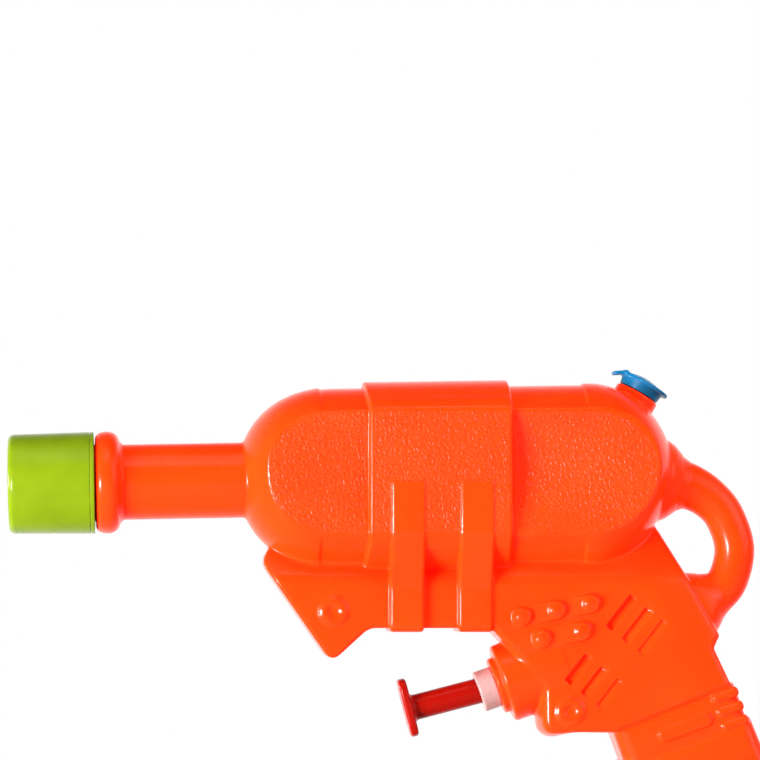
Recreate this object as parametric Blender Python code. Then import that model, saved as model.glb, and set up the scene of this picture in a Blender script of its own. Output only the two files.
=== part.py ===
"""Hand-pumped water squirter: a blow-moulded body with a plunger pump, two valves, hoses and a filler plug.

The muzzle points to -X, the loop handle is at +X and +Z is up.
The origin is the middle of the grip's flat butt.
"""
import math

import bmesh
import bpy
from mathutils import Matrix, Vector
from mathutils.geometry import interpolate_bezier

MM = 0.001
SIDES = (-1, 1)

# Fits shared by all pieces
SEAT_GAP = 0.3 * MM
SLIDE_GAP = 0.2 * MM
SUNK = 1.2 * MM
WALL = 1.5 * MM
HIDDEN_CORNER = 1.0 * MM
LEAST_BEND = 0.05 * MM
ARC_SHARE = 0.48
CORNER_STEPS = 3
SHARP_ANGLE = math.radians(38)
SMALL_STEPS = 12
STUD_STEPS = 10
CUT_PHASE = 0.5

# Tank: a stadium with flat grained sides and arched borders
TANK_LENGTH = 156.6 * MM
TANK_HALF_HEIGHT = 32.8 * MM
TANK_HALF_WIDTH = 22.0 * MM
TANK_BORDER = 11.4 * MM
TANK_REAR_X = -25.0 * MM
TANK_AXIS_Z = 149.9 * MM
NOSE_DEPTH = 36.0 * MM
TAIL_DEPTH = 23.4 * MM
END_POWER = 2.2
TANK_ARC_STEPS = 12
TANK_DEPTH_STEPS = 5
HOLLOW_ARC_STEPS = 8
HOLLOW_DEPTH_STEPS = 3
TANK_NOSE_X = TANK_REAR_X - TANK_LENGTH

# Raised band round the tank and the two straps that run from it under the web
BAND_FROM_NOSE = 45.0 * MM
BAND_LENGTH = 53.4 * MM
BAND_RAISE = 1.4 * MM
BAND_EDGE = 1.6 * MM
BAND_BREAK = 0.5 * MM
BAND_STEPS = 10
STRAP_COUNT = 2
STRAP_FROM_NOSE = 60.1 * MM
STRAP_PITCH = 24.7 * MM
STRAP_WIDTH = 13.4 * MM
STRAP_RAISE = 1.8 * MM
STRAP_TOP_DROP = 1.8 * MM
STRAP_SLOPE_DROP = 40.7 * MM
STRAP_FOOT_RAISE = 3.6 * MM
STRAP_FOOT_DROP = 0.9 * MM
STRAP_EDGE = 1.2 * MM
STRAP_BEND = 7.0 * MM
STRAP_FOOT_CORNER = 3.0 * MM

# Web with its snout, below the tank
WEB_HALF_WIDTH = 11.0 * MM
WEB_EDGE = 3.0 * MM
WEB_DROP = 54.4 * MM
SNOUT_SETBACK = 9.7 * MM
SNOUT_SHOULDER_DROP = 31.3 * MM
SNOUT_TIP_SETBACK = 33.8 * MM
SNOUT_TIP_DROP = 67.0 * MM
SNOUT_HEEL_SETBACK = 47.2 * MM
SNOUT_CORNER = 4.0 * MM
SNOUT_HEEL_BEND = 7.0 * MM

# Lower body, between the tank and the grip
BODY_HALF_WIDTH = 15.5 * MM
BODY_EDGE = 4.0 * MM
BODY_FRONT_FROM_NOSE = 91.1 * MM
BODY_FRONT_DROP = 51.5 * MM
BODY_CHIN_FROM_NOSE = 110.9 * MM
BODY_CHIN_DROP = 91.4 * MM
BODY_NOTCH_DEPTH = 3.4 * MM
BODY_NOTCH_DROP = 56.8 * MM
BODY_SPUR_AHEAD = 16.2 * MM
BODY_BACK_AHEAD = -12.5 * MM
BODY_BACK_DROP = 4.9 * MM
BODY_CORNER = 4.0 * MM
BODY_NOTCH_CORNER = 1.5 * MM

# Grip, in a frame that leans back by the rake
GRIP_RAKE = math.radians(20)
GRIP_LENGTH = 72.0 * MM
GRIP_FRONT = 26.9 * MM
GRIP_BACK_TOP = 23.6 * MM
GRIP_BACK_BUTT = 26.0 * MM
GRIP_HALF_WIDTH = 14.4 * MM
GRIP_EDGE = 5.0 * MM
COLLAR_LENGTH = 11.8 * MM
COLLAR_STEP = 2.4 * MM
COLLAR_HALF_WIDTH = 13.4 * MM
COLLAR_CORNER = 2.0 * MM
BUTT_CORNER = 5.5 * MM
SHOULDER_CORNER = 1.5 * MM
RIDGE_COUNT = 3
RIDGE_PITCH = 5.3 * MM
RIDGE_THICK = 3.2 * MM
RIDGE_LENGTH = 9.0 * MM
RIDGE_RAISE = 0.9 * MM
RIDGE_EDGE = 1.2 * MM
PILL_LENGTH = 20.5 * MM
PILL_WIDTH = 5.2 * MM
PILL_RAISE = 1.0 * MM

# Loop handle behind the tank: offsets along X and Z from the tank's rear end and axis, and the tube's radius
LOOP_ROUTE = [Vector(spot) * MM for spot in (
    (-8.0, -0.6, 13.4), (1.2, -1.2, 10.6), (6.6, -2.8, 8.0), (12.9, -6.9, 7.1), (18.4, -13.2, 6.9),
    (21.9, -24.5, 6.9), (19.3, -36.2, 7.3), (14.2, -42.4, 8.5), (7.0, -49.0, 10.0),
)]
LOOP_SIDES = 12
LOOP_STEPS = 2

# Reliefs on the lower body and the snout
STUD_RADIUS = 3.3 * MM
STUD_RAISE = 2.6 * MM
STUD_SLOPE = math.radians(11)
STUD_ROWS = ((101.3 * MM, -51.2 * MM, 12.9 * MM, 3), (108.6 * MM, -59.5 * MM, 14.9 * MM, 2))
BAR_WIDTH = 6.6 * MM
BAR_RAISE = 0.7 * MM
SLOT_WIDTH = 3.2 * MM
SLOT_DEPTH = 0.7 * MM
SLOT_TILT = math.radians(52)
SLOT_PITCH = 7.3 * MM
SLOT_COUNT = 3
SLOT_GROUPS = ((142.6 * MM, -53.1 * MM, 14.4 * MM), (127.1 * MM, -73.3 * MM, 12.0 * MM))
RIVET_RADIUS = 5.4 * MM
RIVET_RAISE = 1.3 * MM
RIVET_DIMPLE = 2.2 * MM
RIVET_DIMPLE_DEPTH = 1.0 * MM
BODY_RIVET_FROM_NOSE = 118.5 * MM
BODY_RIVET_DROP = 83.8 * MM
SNOUT_RIVET_FROM_NOSE = 33.5 * MM
SNOUT_RIVET_DROP = 48.6 * MM

# Barrel, its bead and the green muzzle cap, along the barrel axis
BARREL_DROOP = math.radians(1.1)
BARREL_AXIS_DROP = 1.2 * MM
BARREL_RADIUS = 13.5 * MM
BARREL_LENGTH = 42.1 * MM
BARREL_ROOT = 24.0 * MM
BEAD_WIDTH = 8.8 * MM
BEAD_RADIUS = 18.3 * MM
BEAD_FULLNESS = 0.55
BEAD_STEPS = 8
CAP_LENGTH = 30.7 * MM
CAP_REAR_RADIUS = 18.2 * MM
CAP_FRONT_RADIUS = 17.7 * MM
CAP_EDGE = 2.6 * MM
CAP_WALL = 1.8 * MM
CAP_SLEEVE_WALL = 1.4 * MM
BARREL_STEPS = 24

# Nozzle inside the muzzle: body with a spring-loaded ball, tip with the jet hole, and a flat seal
SEAL_THICK = 1.5 * MM
SEAL_WIDTH = 3.0 * MM
NOZZLE_RADIUS = 4.6 * MM
NOZZLE_FLANGE = 2.4 * MM
NOZZLE_LENGTH = 22.0 * MM
CHAMBER_RADIUS = 3.1 * MM
JET_RADIUS = 0.7 * MM
TIP_LENGTH = 5.0 * MM
BALL_RADIUS = 2.2 * MM
BALL_LIFT = 1.2 * MM
BALL_SEGMENTS = 12
BALL_RINGS = 7
PORT_RADIUS = 1.0 * MM
SEAT_LENGTH = 1.8 * MM

# Hoses and the spigots that they push on to
HOSE_RADIUS = 2.6 * MM
HOSE_WALL = 0.8 * MM
HOSE_SIDES = 8
DELIVERY_BEND = 52.0 * MM
DELIVERY_STEPS = 14
DELIVERY_ENTRY = 6.0 * MM
PICKUP_STEPS = 10
PICKUP_OFFSET = 6.2 * MM
PICKUP_CLEAR = 5.0 * MM
SPIGOT_LENGTH = 7.0 * MM
SPIGOT_RADIUS = HOSE_RADIUS - HOSE_WALL - SLIDE_GAP

# Pump: gland, cylinder, red plunger, return spring and inlet valve, along the pump axis
PUMP_TILT = math.radians(14.5)
SOCKET_TILT = math.radians(19.5)
PUMP_MOUTH_FROM_NOSE = 86.8 * MM
PUMP_MOUTH_DROP = 76.7 * MM
SOCKET_LIP_RADIUS = 9.4 * MM
SOCKET_LIP_LENGTH = 3.8 * MM
SOCKET_RING_RADIUS = 14.6 * MM
SOCKET_RING_LENGTH = 5.0 * MM
SOCKET_RIM = 0.8 * MM
SOCKET_BOSS_RADIUS = 12.8 * MM
SOCKET_BOSS_LENGTH = 18.0 * MM
GLAND_RADIUS = 7.25 * MM
GLAND_WALL = 2.2 * MM
GLAND_LENGTH = 4.4 * MM
GLAND_EDGE = 0.7 * MM
ROD_SEAL_GROOVE = 1.1 * MM
ROD_SEAL_DEPTH = 1.2 * MM
WASHER_THICK = 0.7 * MM
CYLINDER_RADIUS = 6.1 * MM
CYLINDER_WALL = 0.9 * MM
CYLINDER_END = 1.6 * MM
ROD_RADIUS = 4.6 * MM
ROD_REACH = 23.8 * MM
PLATE_HEIGHT = 22.0 * MM
PLATE_WIDTH = 16.0 * MM
PLATE_THICK = 3.2 * MM
PLATE_CORNER = 5.0 * MM
PISTON_LENGTH = 6.0 * MM
PISTON_GROOVE = 2.2 * MM
PISTON_GROOVE_DEPTH = 1.2 * MM
STROKE = 18.0 * MM
SPRING_ROOM = 11.0 * MM
SPRING_WIRE = 0.4 * MM
SPRING_TURNS = 8
VALVE_SPRING_WIRE = 0.25 * MM
VALVE_SPRING_TURNS = 4
SPRING_POINTS = 9
SPRING_SIDES = 5
LEAST_COIL_GAP = 0.4 * MM
INLET_SOCKET_LENGTH = 9.0 * MM
INLET_SOCKET_WALL = 1.1 * MM
CAGE_THICK = 1.2 * MM
PUMP_STEPS = 20

# Filler neck on the tank's shoulder and its blue plug
FILLER_TILT = math.radians(30)
FILLER_FROM_REAR = 13.6 * MM
FILLER_DROP = 3.1 * MM
FILLER_ABOVE_AXIS = TANK_HALF_HEIGHT - FILLER_DROP
FILLER_RADIUS = 8.3 * MM
FILLER_NECK_LENGTH = 11.0 * MM
FILLER_BORE = 6.2 * MM
PLUG_DISC_RADIUS = 8.9 * MM
PLUG_DISC_THICK = 3.6 * MM
PLUG_SKIRT_RADIUS = 7.25 * MM
PLUG_SKIRT_HEIGHT = 2.2 * MM
PLUG_STEM_LENGTH = 8.0 * MM
PLUG_WALL = 1.3 * MM
TAB_REACH = 4.4 * MM
TAB_DROOP = math.radians(38)
TAB_WIDTH = 7.0 * MM
TAB_THICK = 0.9 * MM
FILLER_STEPS = 20

# Places along the barrel axis, measured forward from the tank's nose
BEAD_END = BARREL_LENGTH + BEAD_WIDTH
CAP_START = BEAD_END + SEAT_GAP
CAP_FRONT = CAP_START + CAP_LENGTH
SEAL_FRONT = CAP_FRONT - CAP_WALL - SEAT_GAP
MOUTH = SEAL_FRONT - SEAL_THICK - SEAT_GAP
NOZZLE_FRONT = CAP_FRONT - SEAT_GAP
NOZZLE_REAR = NOZZLE_FRONT - NOZZLE_LENGTH
OUTLET_SEAT = NOZZLE_REAR + SEAT_LENGTH
OUTLET_BALL = OUTLET_SEAT + BALL_RADIUS
TIP_REAR = NOZZLE_FRONT - TIP_LENGTH

# Places along the pump axis, measured inward from the gland's mouth
WASHER_START = GLAND_LENGTH + SLIDE_GAP
WASHER_STOP = WASHER_START + WASHER_THICK
SOCKET_SETBACK = WASHER_STOP + GLAND_RADIUS * math.tan(SOCKET_TILT - PUMP_TILT) + SEAT_GAP
CYLINDER_BORE = CYLINDER_RADIUS - CYLINDER_WALL
CYLINDER_START = GLAND_WALL + SEAT_GAP
PISTON_START = CYLINDER_START + SEAT_GAP
PISTON_END = PISTON_START + PISTON_LENGTH
CHAMBER_END = PISTON_END + STROKE + SPRING_ROOM
OUTLET_PLACE = CHAMBER_END - SPRING_ROOM / 2
CYLINDER_STOP = CHAMBER_END + CYLINDER_END
INLET_STOP = CYLINDER_STOP + INLET_SOCKET_LENGTH
CAGE_END = CYLINDER_STOP + SEAT_GAP + CAGE_THICK
INLET_BALL = CAGE_END + SEAT_GAP + BALL_LIFT + BALL_RADIUS
INLET_SEAT = INLET_BALL + BALL_RADIUS
FITTING_BORE = BALL_RADIUS + SEAT_GAP * 3
FITTING_RADIUS = FITTING_BORE + WALL
INLET_SOCKET_BORE = FITTING_RADIUS + SEAT_GAP
INLET_SOCKET_RADIUS = INLET_SOCKET_BORE + INLET_SOCKET_WALL
FITTING_FLANGE = INLET_STOP + SEAT_GAP + WALL
SPIGOT_TIP = CYLINDER_RADIUS + SPIGOT_LENGTH
SOCKET_BORE = CYLINDER_RADIUS + SEAT_GAP


def clear_scene():
    for old in list(bpy.data.objects):
        bpy.data.objects.remove(old, do_unlink=True)


def paint(name, colour, roughness, metallic=0.0):
    """A plain Principled material in linear colour."""
    finish = bpy.data.materials.new(name)
    finish.use_nodes = True
    shader = finish.node_tree.nodes["Principled BSDF"]
    shader.inputs["Base Color"].default_value = (*colour, 1.0)
    shader.inputs["Roughness"].default_value = roughness
    shader.inputs["Metallic"].default_value = metallic
    finish.diffuse_color = (*colour, 1.0)
    return finish


def axis_frame(name, origin, forward, upward):
    """An empty whose local Z runs along forward and whose local X leans towards upward."""
    empty = bpy.data.objects.new(name, None)
    bpy.context.collection.objects.link(empty)
    z_axis = Vector(forward).normalized()
    y_axis = z_axis.cross(Vector(upward)).normalized()
    x_axis = y_axis.cross(z_axis)
    turn = Matrix((x_axis, y_axis, z_axis)).transposed().to_4x4()
    empty.matrix_world = Matrix.Translation(origin) @ turn
    return empty


def place(name, bm, finish=None, parent=None):
    """Turn a bmesh into an object; without a finish it is a guide that only shapes other pieces."""
    bmesh.ops.recalc_face_normals(bm, faces=bm.faces)
    mesh = bpy.data.meshes.new(name)
    bm.to_mesh(mesh)
    bm.free()
    mesh.shade_smooth()
    mesh.set_sharp_from_angle(angle=SHARP_ANGLE)
    piece = bpy.data.objects.new(name, mesh)
    bpy.context.collection.objects.link(piece)
    piece.parent = parent
    if finish:
        mesh.materials.append(finish)
    else:
        piece.hide_render = True
        piece.display_type = "WIRE"
    return piece


def combine(target, tool, operation):
    step = target.modifiers.new(tool.name, "BOOLEAN")
    step.operation = operation
    step.solver = "EXACT"
    step.object = tool


def loft(rings):
    """Skin rings of equal point counts and close both ends."""
    bm = bmesh.new()
    rows = [[bm.verts.new(point) for point in ring] for ring in rings]
    for near, far in zip(rows, rows[1:]):
        for j in range(len(near)):
            k = (j + 1) % len(near)
            bm.faces.new((near[j], near[k], far[k], far[j]))
    bm.faces.new(rows[0])
    bm.faces.new(rows[-1])
    return bm


def revolve(profile, steps, phase=0.0):
    """Turn a closed (radius, height) outline about Z; points on the axis become single vertices.

    A cutter has a phase of half a step, so that its facets don't meet those of a coaxial piece edge on edge.
    """
    bm = bmesh.new()
    rows = []
    for radius, height in profile:
        if radius < LEAST_BEND:
            rows.append([bm.verts.new((0, 0, height))] * steps)
            continue
        turns = [2 * math.pi * (j + phase) / steps for j in range(steps)]
        rows.append([bm.verts.new((radius * math.cos(a), radius * math.sin(a), height)) for a in turns])
    for lower, upper in zip(rows, rows[1:] + rows[:1]):
        for j in range(steps):
            k = (j + 1) % steps
            corners = list(dict.fromkeys((lower[j], lower[k], upper[k], upper[j])))
            if len(corners) > 2:
                bm.faces.new(corners)
    return bm


def offset_corners(corners, inset):
    """Move every side of a counter-clockwise outline inward; radii follow, growing at hollow corners."""
    moved = []
    for (au, av, _), (bu, bv, radius), (cu, cv, _) in zip(corners[-1:] + corners[:-1], corners,
                                                           corners[1:] + corners[:1]):
        before = Vector((bu - au, bv - av)).normalized()
        after = Vector((cu - bu, cv - bv)).normalized()
        cross = before.x * after.y - before.y * after.x
        spread = inset / (1 + before.dot(after))
        normals = Vector((-before.y - after.y, before.x + after.x))
        grown = radius - inset if cross > 0 else radius + inset
        moved.append((bu + normals.x * spread, bv + normals.y * spread, grown))
    return moved


def rounded(corners, steps=CORNER_STEPS):
    """Replace each (u, v, radius) corner by an arc of steps + 1 points."""
    outline = []
    for (au, av, _), (bu, bv, radius), (cu, cv, _) in zip(corners[-1:] + corners[:-1], corners,
                                                           corners[1:] + corners[:1]):
        corner = Vector((bu, bv))
        to_a = Vector((au, av)) - corner
        to_c = Vector((cu, cv)) - corner
        half = to_a.angle(to_c) / 2
        room = min(to_a.length, to_c.length) * ARC_SHARE * math.tan(half)
        bend = min(max(radius, LEAST_BEND), room)
        middle = corner + (to_a.normalized() + to_c.normalized()).normalized() * bend / math.sin(half)
        start = corner + to_a.normalized() * bend / math.tan(half) - middle
        stop = corner + to_c.normalized() * bend / math.tan(half) - middle
        sweep_angle = start.angle_signed(stop)
        for k in range(steps + 1):
            spoke = start.copy()
            spoke.rotate(Matrix.Rotation(-sweep_angle * k / steps, 2))
            outline.append(middle + spoke)
    return outline


def slab(corners, half_width, edge, to_space, inset=0.0, edge_steps=2, steps=CORNER_STEPS):
    """A plate of the outline with rounded rims; inset shrinks it on all sides for the hollow."""
    corners = list(corners)
    edge = max(edge - inset, SLIDE_GAP)
    half_width -= inset
    levels = []
    for k in range(edge_steps + 1):
        angle = math.pi / 2 * k / edge_steps
        levels.append((half_width - edge + edge * math.sin(angle), inset + edge * (1 - math.cos(angle))))
    levels = [(-depth, drawn) for depth, drawn in reversed(levels)] + levels
    rings = []
    for depth, drawn in levels:
        outline = rounded(offset_corners(corners, drawn), steps)
        rings.append([to_space(point.x, point.y, depth) for point in outline])
    return loft(rings)


def sweep(path, radii, sides, bore=0.0):
    """A tube along the path; with a bore it is open from end to end."""
    tangents = []
    for k, point in enumerate(path):
        ahead = path[min(k + 1, len(path) - 1)]
        behind = path[max(k - 1, 0)]
        tangents.append((ahead - behind).normalized())
    normal = tangents[0].orthogonal().normalized()
    spokes = []
    for tangent in tangents:
        normal = (normal - tangent * normal.dot(tangent)).normalized()
        spokes.append((normal, tangent.cross(normal)))

    def ring(k, radius):
        turns = [2 * math.pi * j / sides for j in range(sides)]
        across, along = spokes[k]
        return [path[k] + (across * math.cos(a) + along * math.sin(a)) * radius for a in turns]

    outer = [ring(k, radii[k]) for k in range(len(path))]
    if not bore:
        return loft(outer)
    inner = [ring(k, bore) for k in reversed(range(len(path)))]
    bm = bmesh.new()
    rows = [[bm.verts.new(point) for point in points] for points in outer + inner]
    for near, far in zip(rows, rows[1:] + rows[:1]):
        for j in range(sides):
            k = (j + 1) % sides
            bm.faces.new((near[j], near[k], far[k], far[j]))
    return bm


def smooth_path(points, steps):
    """A smooth curve through the points, with steps samples to each span."""
    path = []
    last = len(points) - 1
    for k in range(last):
        before = points[max(k - 1, 0)]
        after = points[min(k + 2, last)]
        lead = points[k] + (points[k + 1] - before) / 6
        trail = points[k + 1] - (after - points[k]) / 6
        path += interpolate_bezier(points[k], lead, trail, points[k + 1], steps + 1)[:-1]
    return path + [points[last]]


def box_corners(left, right, low, high, radius):
    """Counter-clockwise corners of a rectangle with rounded corners."""
    return [(left, low, radius), (right, low, radius), (right, high, radius), (left, high, radius)]


def side_plane(x, z, y):
    return Vector((x, y, z))


def cross_plane(x_middle):
    """Maps an outline in (Y, Z) to space, with its thickness along X about x_middle."""
    return lambda y, z, x: Vector((x_middle + x, y, z))


def tank_point(from_nose, above_axis):
    return TANK_NOSE_X + from_nose, TANK_AXIS_Z + above_axis


def grip_point(back, up):
    """A point of the grip's own frame in (X, Z)."""
    x = back * math.cos(GRIP_RAKE) - up * math.sin(GRIP_RAKE)
    z = back * math.sin(GRIP_RAKE) + up * math.cos(GRIP_RAKE)
    return x, z


def grip_plane(back, up, y):
    x, z = grip_point(back, up)
    return Vector((x, y, z))


def border_radius():
    """Radius of the arch from the tank's flat side to its ridge line."""
    return (TANK_BORDER ** 2 + TANK_HALF_WIDTH ** 2) / (2 * TANK_BORDER)


def tank_form(inset, arc_steps, depth_steps):
    """Stack of stadium outlines from one flat side of the tank to the other."""
    arch = border_radius()
    reach = TANK_HALF_WIDTH - inset
    ends = ((TAIL_DEPTH, TANK_REAR_X - TAIL_DEPTH, 1), (NOSE_DEPTH, TANK_NOSE_X + NOSE_DEPTH, -1))
    rings = []
    for k in range(-depth_steps, depth_steps + 1):
        y = reach * math.sin(math.pi / 2 * k / depth_steps)
        drawn = inset + arch - math.sqrt(arch ** 2 - y ** 2)
        height = TANK_HALF_HEIGHT - drawn
        ring = []
        for depth, hub, way in ends:
            for j in range(arc_steps + 1):
                angle = math.pi * (j / arc_steps - 0.5)
                across = abs(math.cos(angle)) ** (2 / END_POWER)
                upward = math.copysign(abs(math.sin(angle)) ** (2 / END_POWER), math.sin(angle))
                x = hub + way * (depth - drawn) * across
                ring.append(Vector((x, y, TANK_AXIS_Z + way * height * upward)))
        rings.append(ring)
    return loft(rings)


def tank_section(x, grow, steps):
    """Cross-section of the tank at x, grown outward."""
    arch = border_radius() + grow
    hub = TANK_HALF_HEIGHT - border_radius()
    reach = TANK_HALF_WIDTH + grow
    top = []
    for k in range(steps + 1):
        y = reach * math.sin(math.pi / 2 * (2 * k / steps - 1))
        top.append((y, hub + math.sqrt(arch ** 2 - y ** 2)))
    outline = top + [(-y, -z) for y, z in top]
    return [Vector((x, y, TANK_AXIS_Z + z)) for y, z in outline]


def band_form():
    start = TANK_NOSE_X + BAND_FROM_NOSE
    stop = start + BAND_LENGTH
    stations = (
        (start - SLIDE_GAP, -SUNK), (start, BAND_RAISE - BAND_BREAK), (start + BAND_BREAK, BAND_RAISE),
        (stop - BAND_EDGE, BAND_RAISE), (stop - BAND_BREAK, BAND_RAISE - BAND_BREAK), (stop, -SUNK),
    )
    return loft([tank_section(x, grow, BAND_STEPS) for x, grow in stations])


def strap_corners():
    chest = TANK_HALF_WIDTH + BAND_RAISE + STRAP_RAISE
    foot = WEB_HALF_WIDTH + STRAP_FOOT_RAISE
    top = TANK_AXIS_Z - STRAP_TOP_DROP
    crease = TANK_AXIS_Z - TANK_HALF_HEIGHT + TANK_BORDER
    slope_end = TANK_AXIS_Z - STRAP_SLOPE_DROP
    bottom = TANK_AXIS_Z - WEB_DROP - STRAP_FOOT_DROP
    right = [
        (foot, bottom, STRAP_FOOT_CORNER), (foot, slope_end, STRAP_BEND), (chest, crease, STRAP_BEND),
        (chest, top, HIDDEN_CORNER),
    ]
    left = [(-y, z, radius) for y, z, radius in reversed(right)]
    return right + left


def web_corners():
    root_drop = TANK_HALF_HEIGHT - TANK_BORDER
    rear = BODY_FRONT_FROM_NOSE + 2 * BODY_EDGE
    spots = (
        (SNOUT_SETBACK + WALL, -root_drop, HIDDEN_CORNER),
        (SNOUT_SETBACK, -SNOUT_SHOULDER_DROP, SNOUT_CORNER),
        (SNOUT_TIP_SETBACK, -SNOUT_TIP_DROP, SNOUT_CORNER),
        (SNOUT_HEEL_SETBACK, -WEB_DROP, SNOUT_HEEL_BEND),
        (rear, -WEB_DROP, HIDDEN_CORNER),
        (rear, -root_drop, HIDDEN_CORNER),
    )
    return [(*tank_point(x, z), radius) for x, z, radius in spots]


def body_corners():
    """Outline of the lower body; its sloping lower side is square to the grip."""
    spur = TANK_LENGTH + BODY_SPUR_AHEAD
    notch = spur - BODY_NOTCH_DEPTH / 2
    return [
        (*tank_point(BODY_FRONT_FROM_NOSE, -TANK_HALF_HEIGHT / 2), HIDDEN_CORNER),
        (*tank_point(BODY_FRONT_FROM_NOSE, -BODY_FRONT_DROP), BODY_CORNER),
        (*tank_point(BODY_CHIN_FROM_NOSE, -BODY_CHIN_DROP), BODY_CORNER),
        (*grip_point(-GRIP_FRONT + COLLAR_STEP + WALL, GRIP_LENGTH - WALL), BODY_CORNER),
        (*grip_point(GRIP_BACK_TOP - COLLAR_STEP, GRIP_LENGTH), BODY_NOTCH_CORNER),
        (*tank_point(notch, -BODY_NOTCH_DROP - BODY_NOTCH_DEPTH), BODY_NOTCH_CORNER),
        (*tank_point(spur, -BODY_NOTCH_DROP), BODY_NOTCH_CORNER),
        (*tank_point(TANK_LENGTH + BODY_BACK_AHEAD, -BODY_BACK_DROP), HIDDEN_CORNER),
    ]


def grip_corners():
    top = GRIP_LENGTH - COLLAR_LENGTH
    return [
        (-GRIP_FRONT, 0, BUTT_CORNER), (GRIP_BACK_BUTT, 0, BUTT_CORNER),
        (GRIP_BACK_TOP, top, SHOULDER_CORNER), (-GRIP_FRONT, top, SHOULDER_CORNER),
    ]


def collar_corners():
    """The drawn-in length of grip between its main part and the lower body."""
    low = GRIP_LENGTH - COLLAR_LENGTH - GRIP_EDGE
    high = GRIP_LENGTH + GRIP_EDGE
    front = -GRIP_FRONT + COLLAR_STEP
    back = GRIP_BACK_TOP - COLLAR_STEP / 2
    return box_corners(front, back, low, high, COLLAR_CORNER)


def loop_form(inset):
    route = smooth_path(LOOP_ROUTE, LOOP_STEPS)
    path = [Vector((TANK_REAR_X + x, 0, TANK_AXIS_Z + z)) for x, z, _ in route]
    return sweep(path, [radius - inset for _, _, radius in route], LOOP_SIDES)


def barrel_profile(inset, front):
    """Barrel, bead and neck as one tube, as a solid of revolution with its skin drawn in by inset."""
    tube = BARREL_RADIUS - inset
    crown = BEAD_RADIUS - inset
    profile = [(0, -BARREL_ROOT), (tube, -BARREL_ROOT), (tube, BARREL_LENGTH + inset)]
    half = BEAD_WIDTH / 2 - inset
    middle = BARREL_LENGTH + BEAD_WIDTH / 2
    for k in range(1, BEAD_STEPS):
        angle = math.pi * (k / BEAD_STEPS - 0.5)
        bulge = math.cos(angle) ** BEAD_FULLNESS
        profile.append((tube + (crown - tube) * bulge, middle + half * math.sin(angle)))
    profile += [(tube, BEAD_END - inset), (tube, front), (0, front)]
    return profile


def dome_profile(radius, height):
    angles = [math.pi / 6 * k for k in (1, 2)]
    arc = [(radius * math.cos(angle), height * math.sin(angle)) for angle in angles]
    return [(0, -SUNK), (radius, -SUNK)] + arc + [(0, height)]


def rivet_profile():
    """A raised ring with a dimple in its middle."""
    lip = (RIVET_RADIUS - RIVET_DIMPLE) / 3
    floor = RIVET_RAISE - RIVET_DIMPLE_DEPTH
    return [
        (0, -SUNK), (RIVET_RADIUS, -SUNK), (RIVET_RADIUS, RIVET_RAISE / 3), (RIVET_RADIUS - lip, RIVET_RAISE),
        (RIVET_DIMPLE + lip / 2, RIVET_RAISE), (RIVET_DIMPLE, floor), (0, floor),
    ]


def face_frame(name, from_nose, above_axis, half_width, side):
    """An empty on one side face, with its local Z outward and its local X upward."""
    x, z = tank_point(from_nose, above_axis)
    return axis_frame(name, Vector((x, side * half_width, z)), Vector((0, side, 0)), Vector((0, 0, 1)))


def add_studs(shell, side, word):
    """Rows of domed studs, each row on a low bar."""
    run = Vector((math.sin(STUD_SLOPE), side * math.cos(STUD_SLOPE), 0))
    across = Vector((run.y, -run.x, 0))
    half = BAR_WIDTH / 2
    for row, (from_nose, above_axis, pitch, count) in enumerate(STUD_ROWS):
        start = face_frame(f"{word}_bar_{row}_frame", from_nose, above_axis, BODY_HALF_WIDTH, side)
        corners = box_corners(0, pitch * (count - 1) + half, -half, half, half)
        bar = slab(corners, BAR_RAISE + SUNK, BAR_RAISE,
                   lambda u, v, w: run * u + across * v + Vector((0, 0, w - SUNK)), edge_steps=1)
        combine(shell, place(f"{word}_stud_bar_{row}", bar, parent=start), "UNION")
        for k in range(count):
            dome = revolve(dome_profile(STUD_RADIUS, STUD_RAISE), STUD_STEPS)
            stud = place(f"{word}_stud_{row}_{k}", dome, parent=start)
            stud.location = run * (pitch * k)
            combine(shell, stud, "UNION")


def add_rivets(shell, side, word):
    spots = (("body_rivet", BODY_RIVET_FROM_NOSE, -BODY_RIVET_DROP, BODY_HALF_WIDTH),
             ("snout_rivet", SNOUT_RIVET_FROM_NOSE, -SNOUT_RIVET_DROP, WEB_HALF_WIDTH))
    for name, from_nose, above_axis, half_width in spots:
        seat = face_frame(f"{word}_{name}_frame", from_nose, above_axis, half_width, side)
        rivet = revolve(rivet_profile(), SMALL_STEPS)
        combine(shell, place(f"{word}_{name}", rivet, parent=seat), "UNION")


def cut_slots(shell, side, word):
    """Two groups of slanting recesses."""
    along = Vector((math.sin(SLOT_TILT), side * math.cos(SLOT_TILT), 0))
    across = Vector((-along.y, along.x, 0))
    for group, (from_nose, above_axis, length) in enumerate(SLOT_GROUPS):
        seat = face_frame(f"{word}_slots_{group}_frame", from_nose, above_axis, BODY_HALF_WIDTH, side)
        corners = box_corners(-length / 2, length / 2, -SLOT_WIDTH / 2, SLOT_WIDTH / 2, 0)
        for k in range(SLOT_COUNT):
            shift = across * SLOT_PITCH * (k - (SLOT_COUNT - 1) / 2)
            ring = [along * u + across * v + shift for u, v, _ in corners]
            rings = [[point + Vector((0, 0, level)) for point in ring] for level in (-SLOT_DEPTH, SUNK)]
            combine(shell, place(f"{word}_slot_{group}_{k}", loft(rings), parent=seat), "DIFFERENCE")


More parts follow.
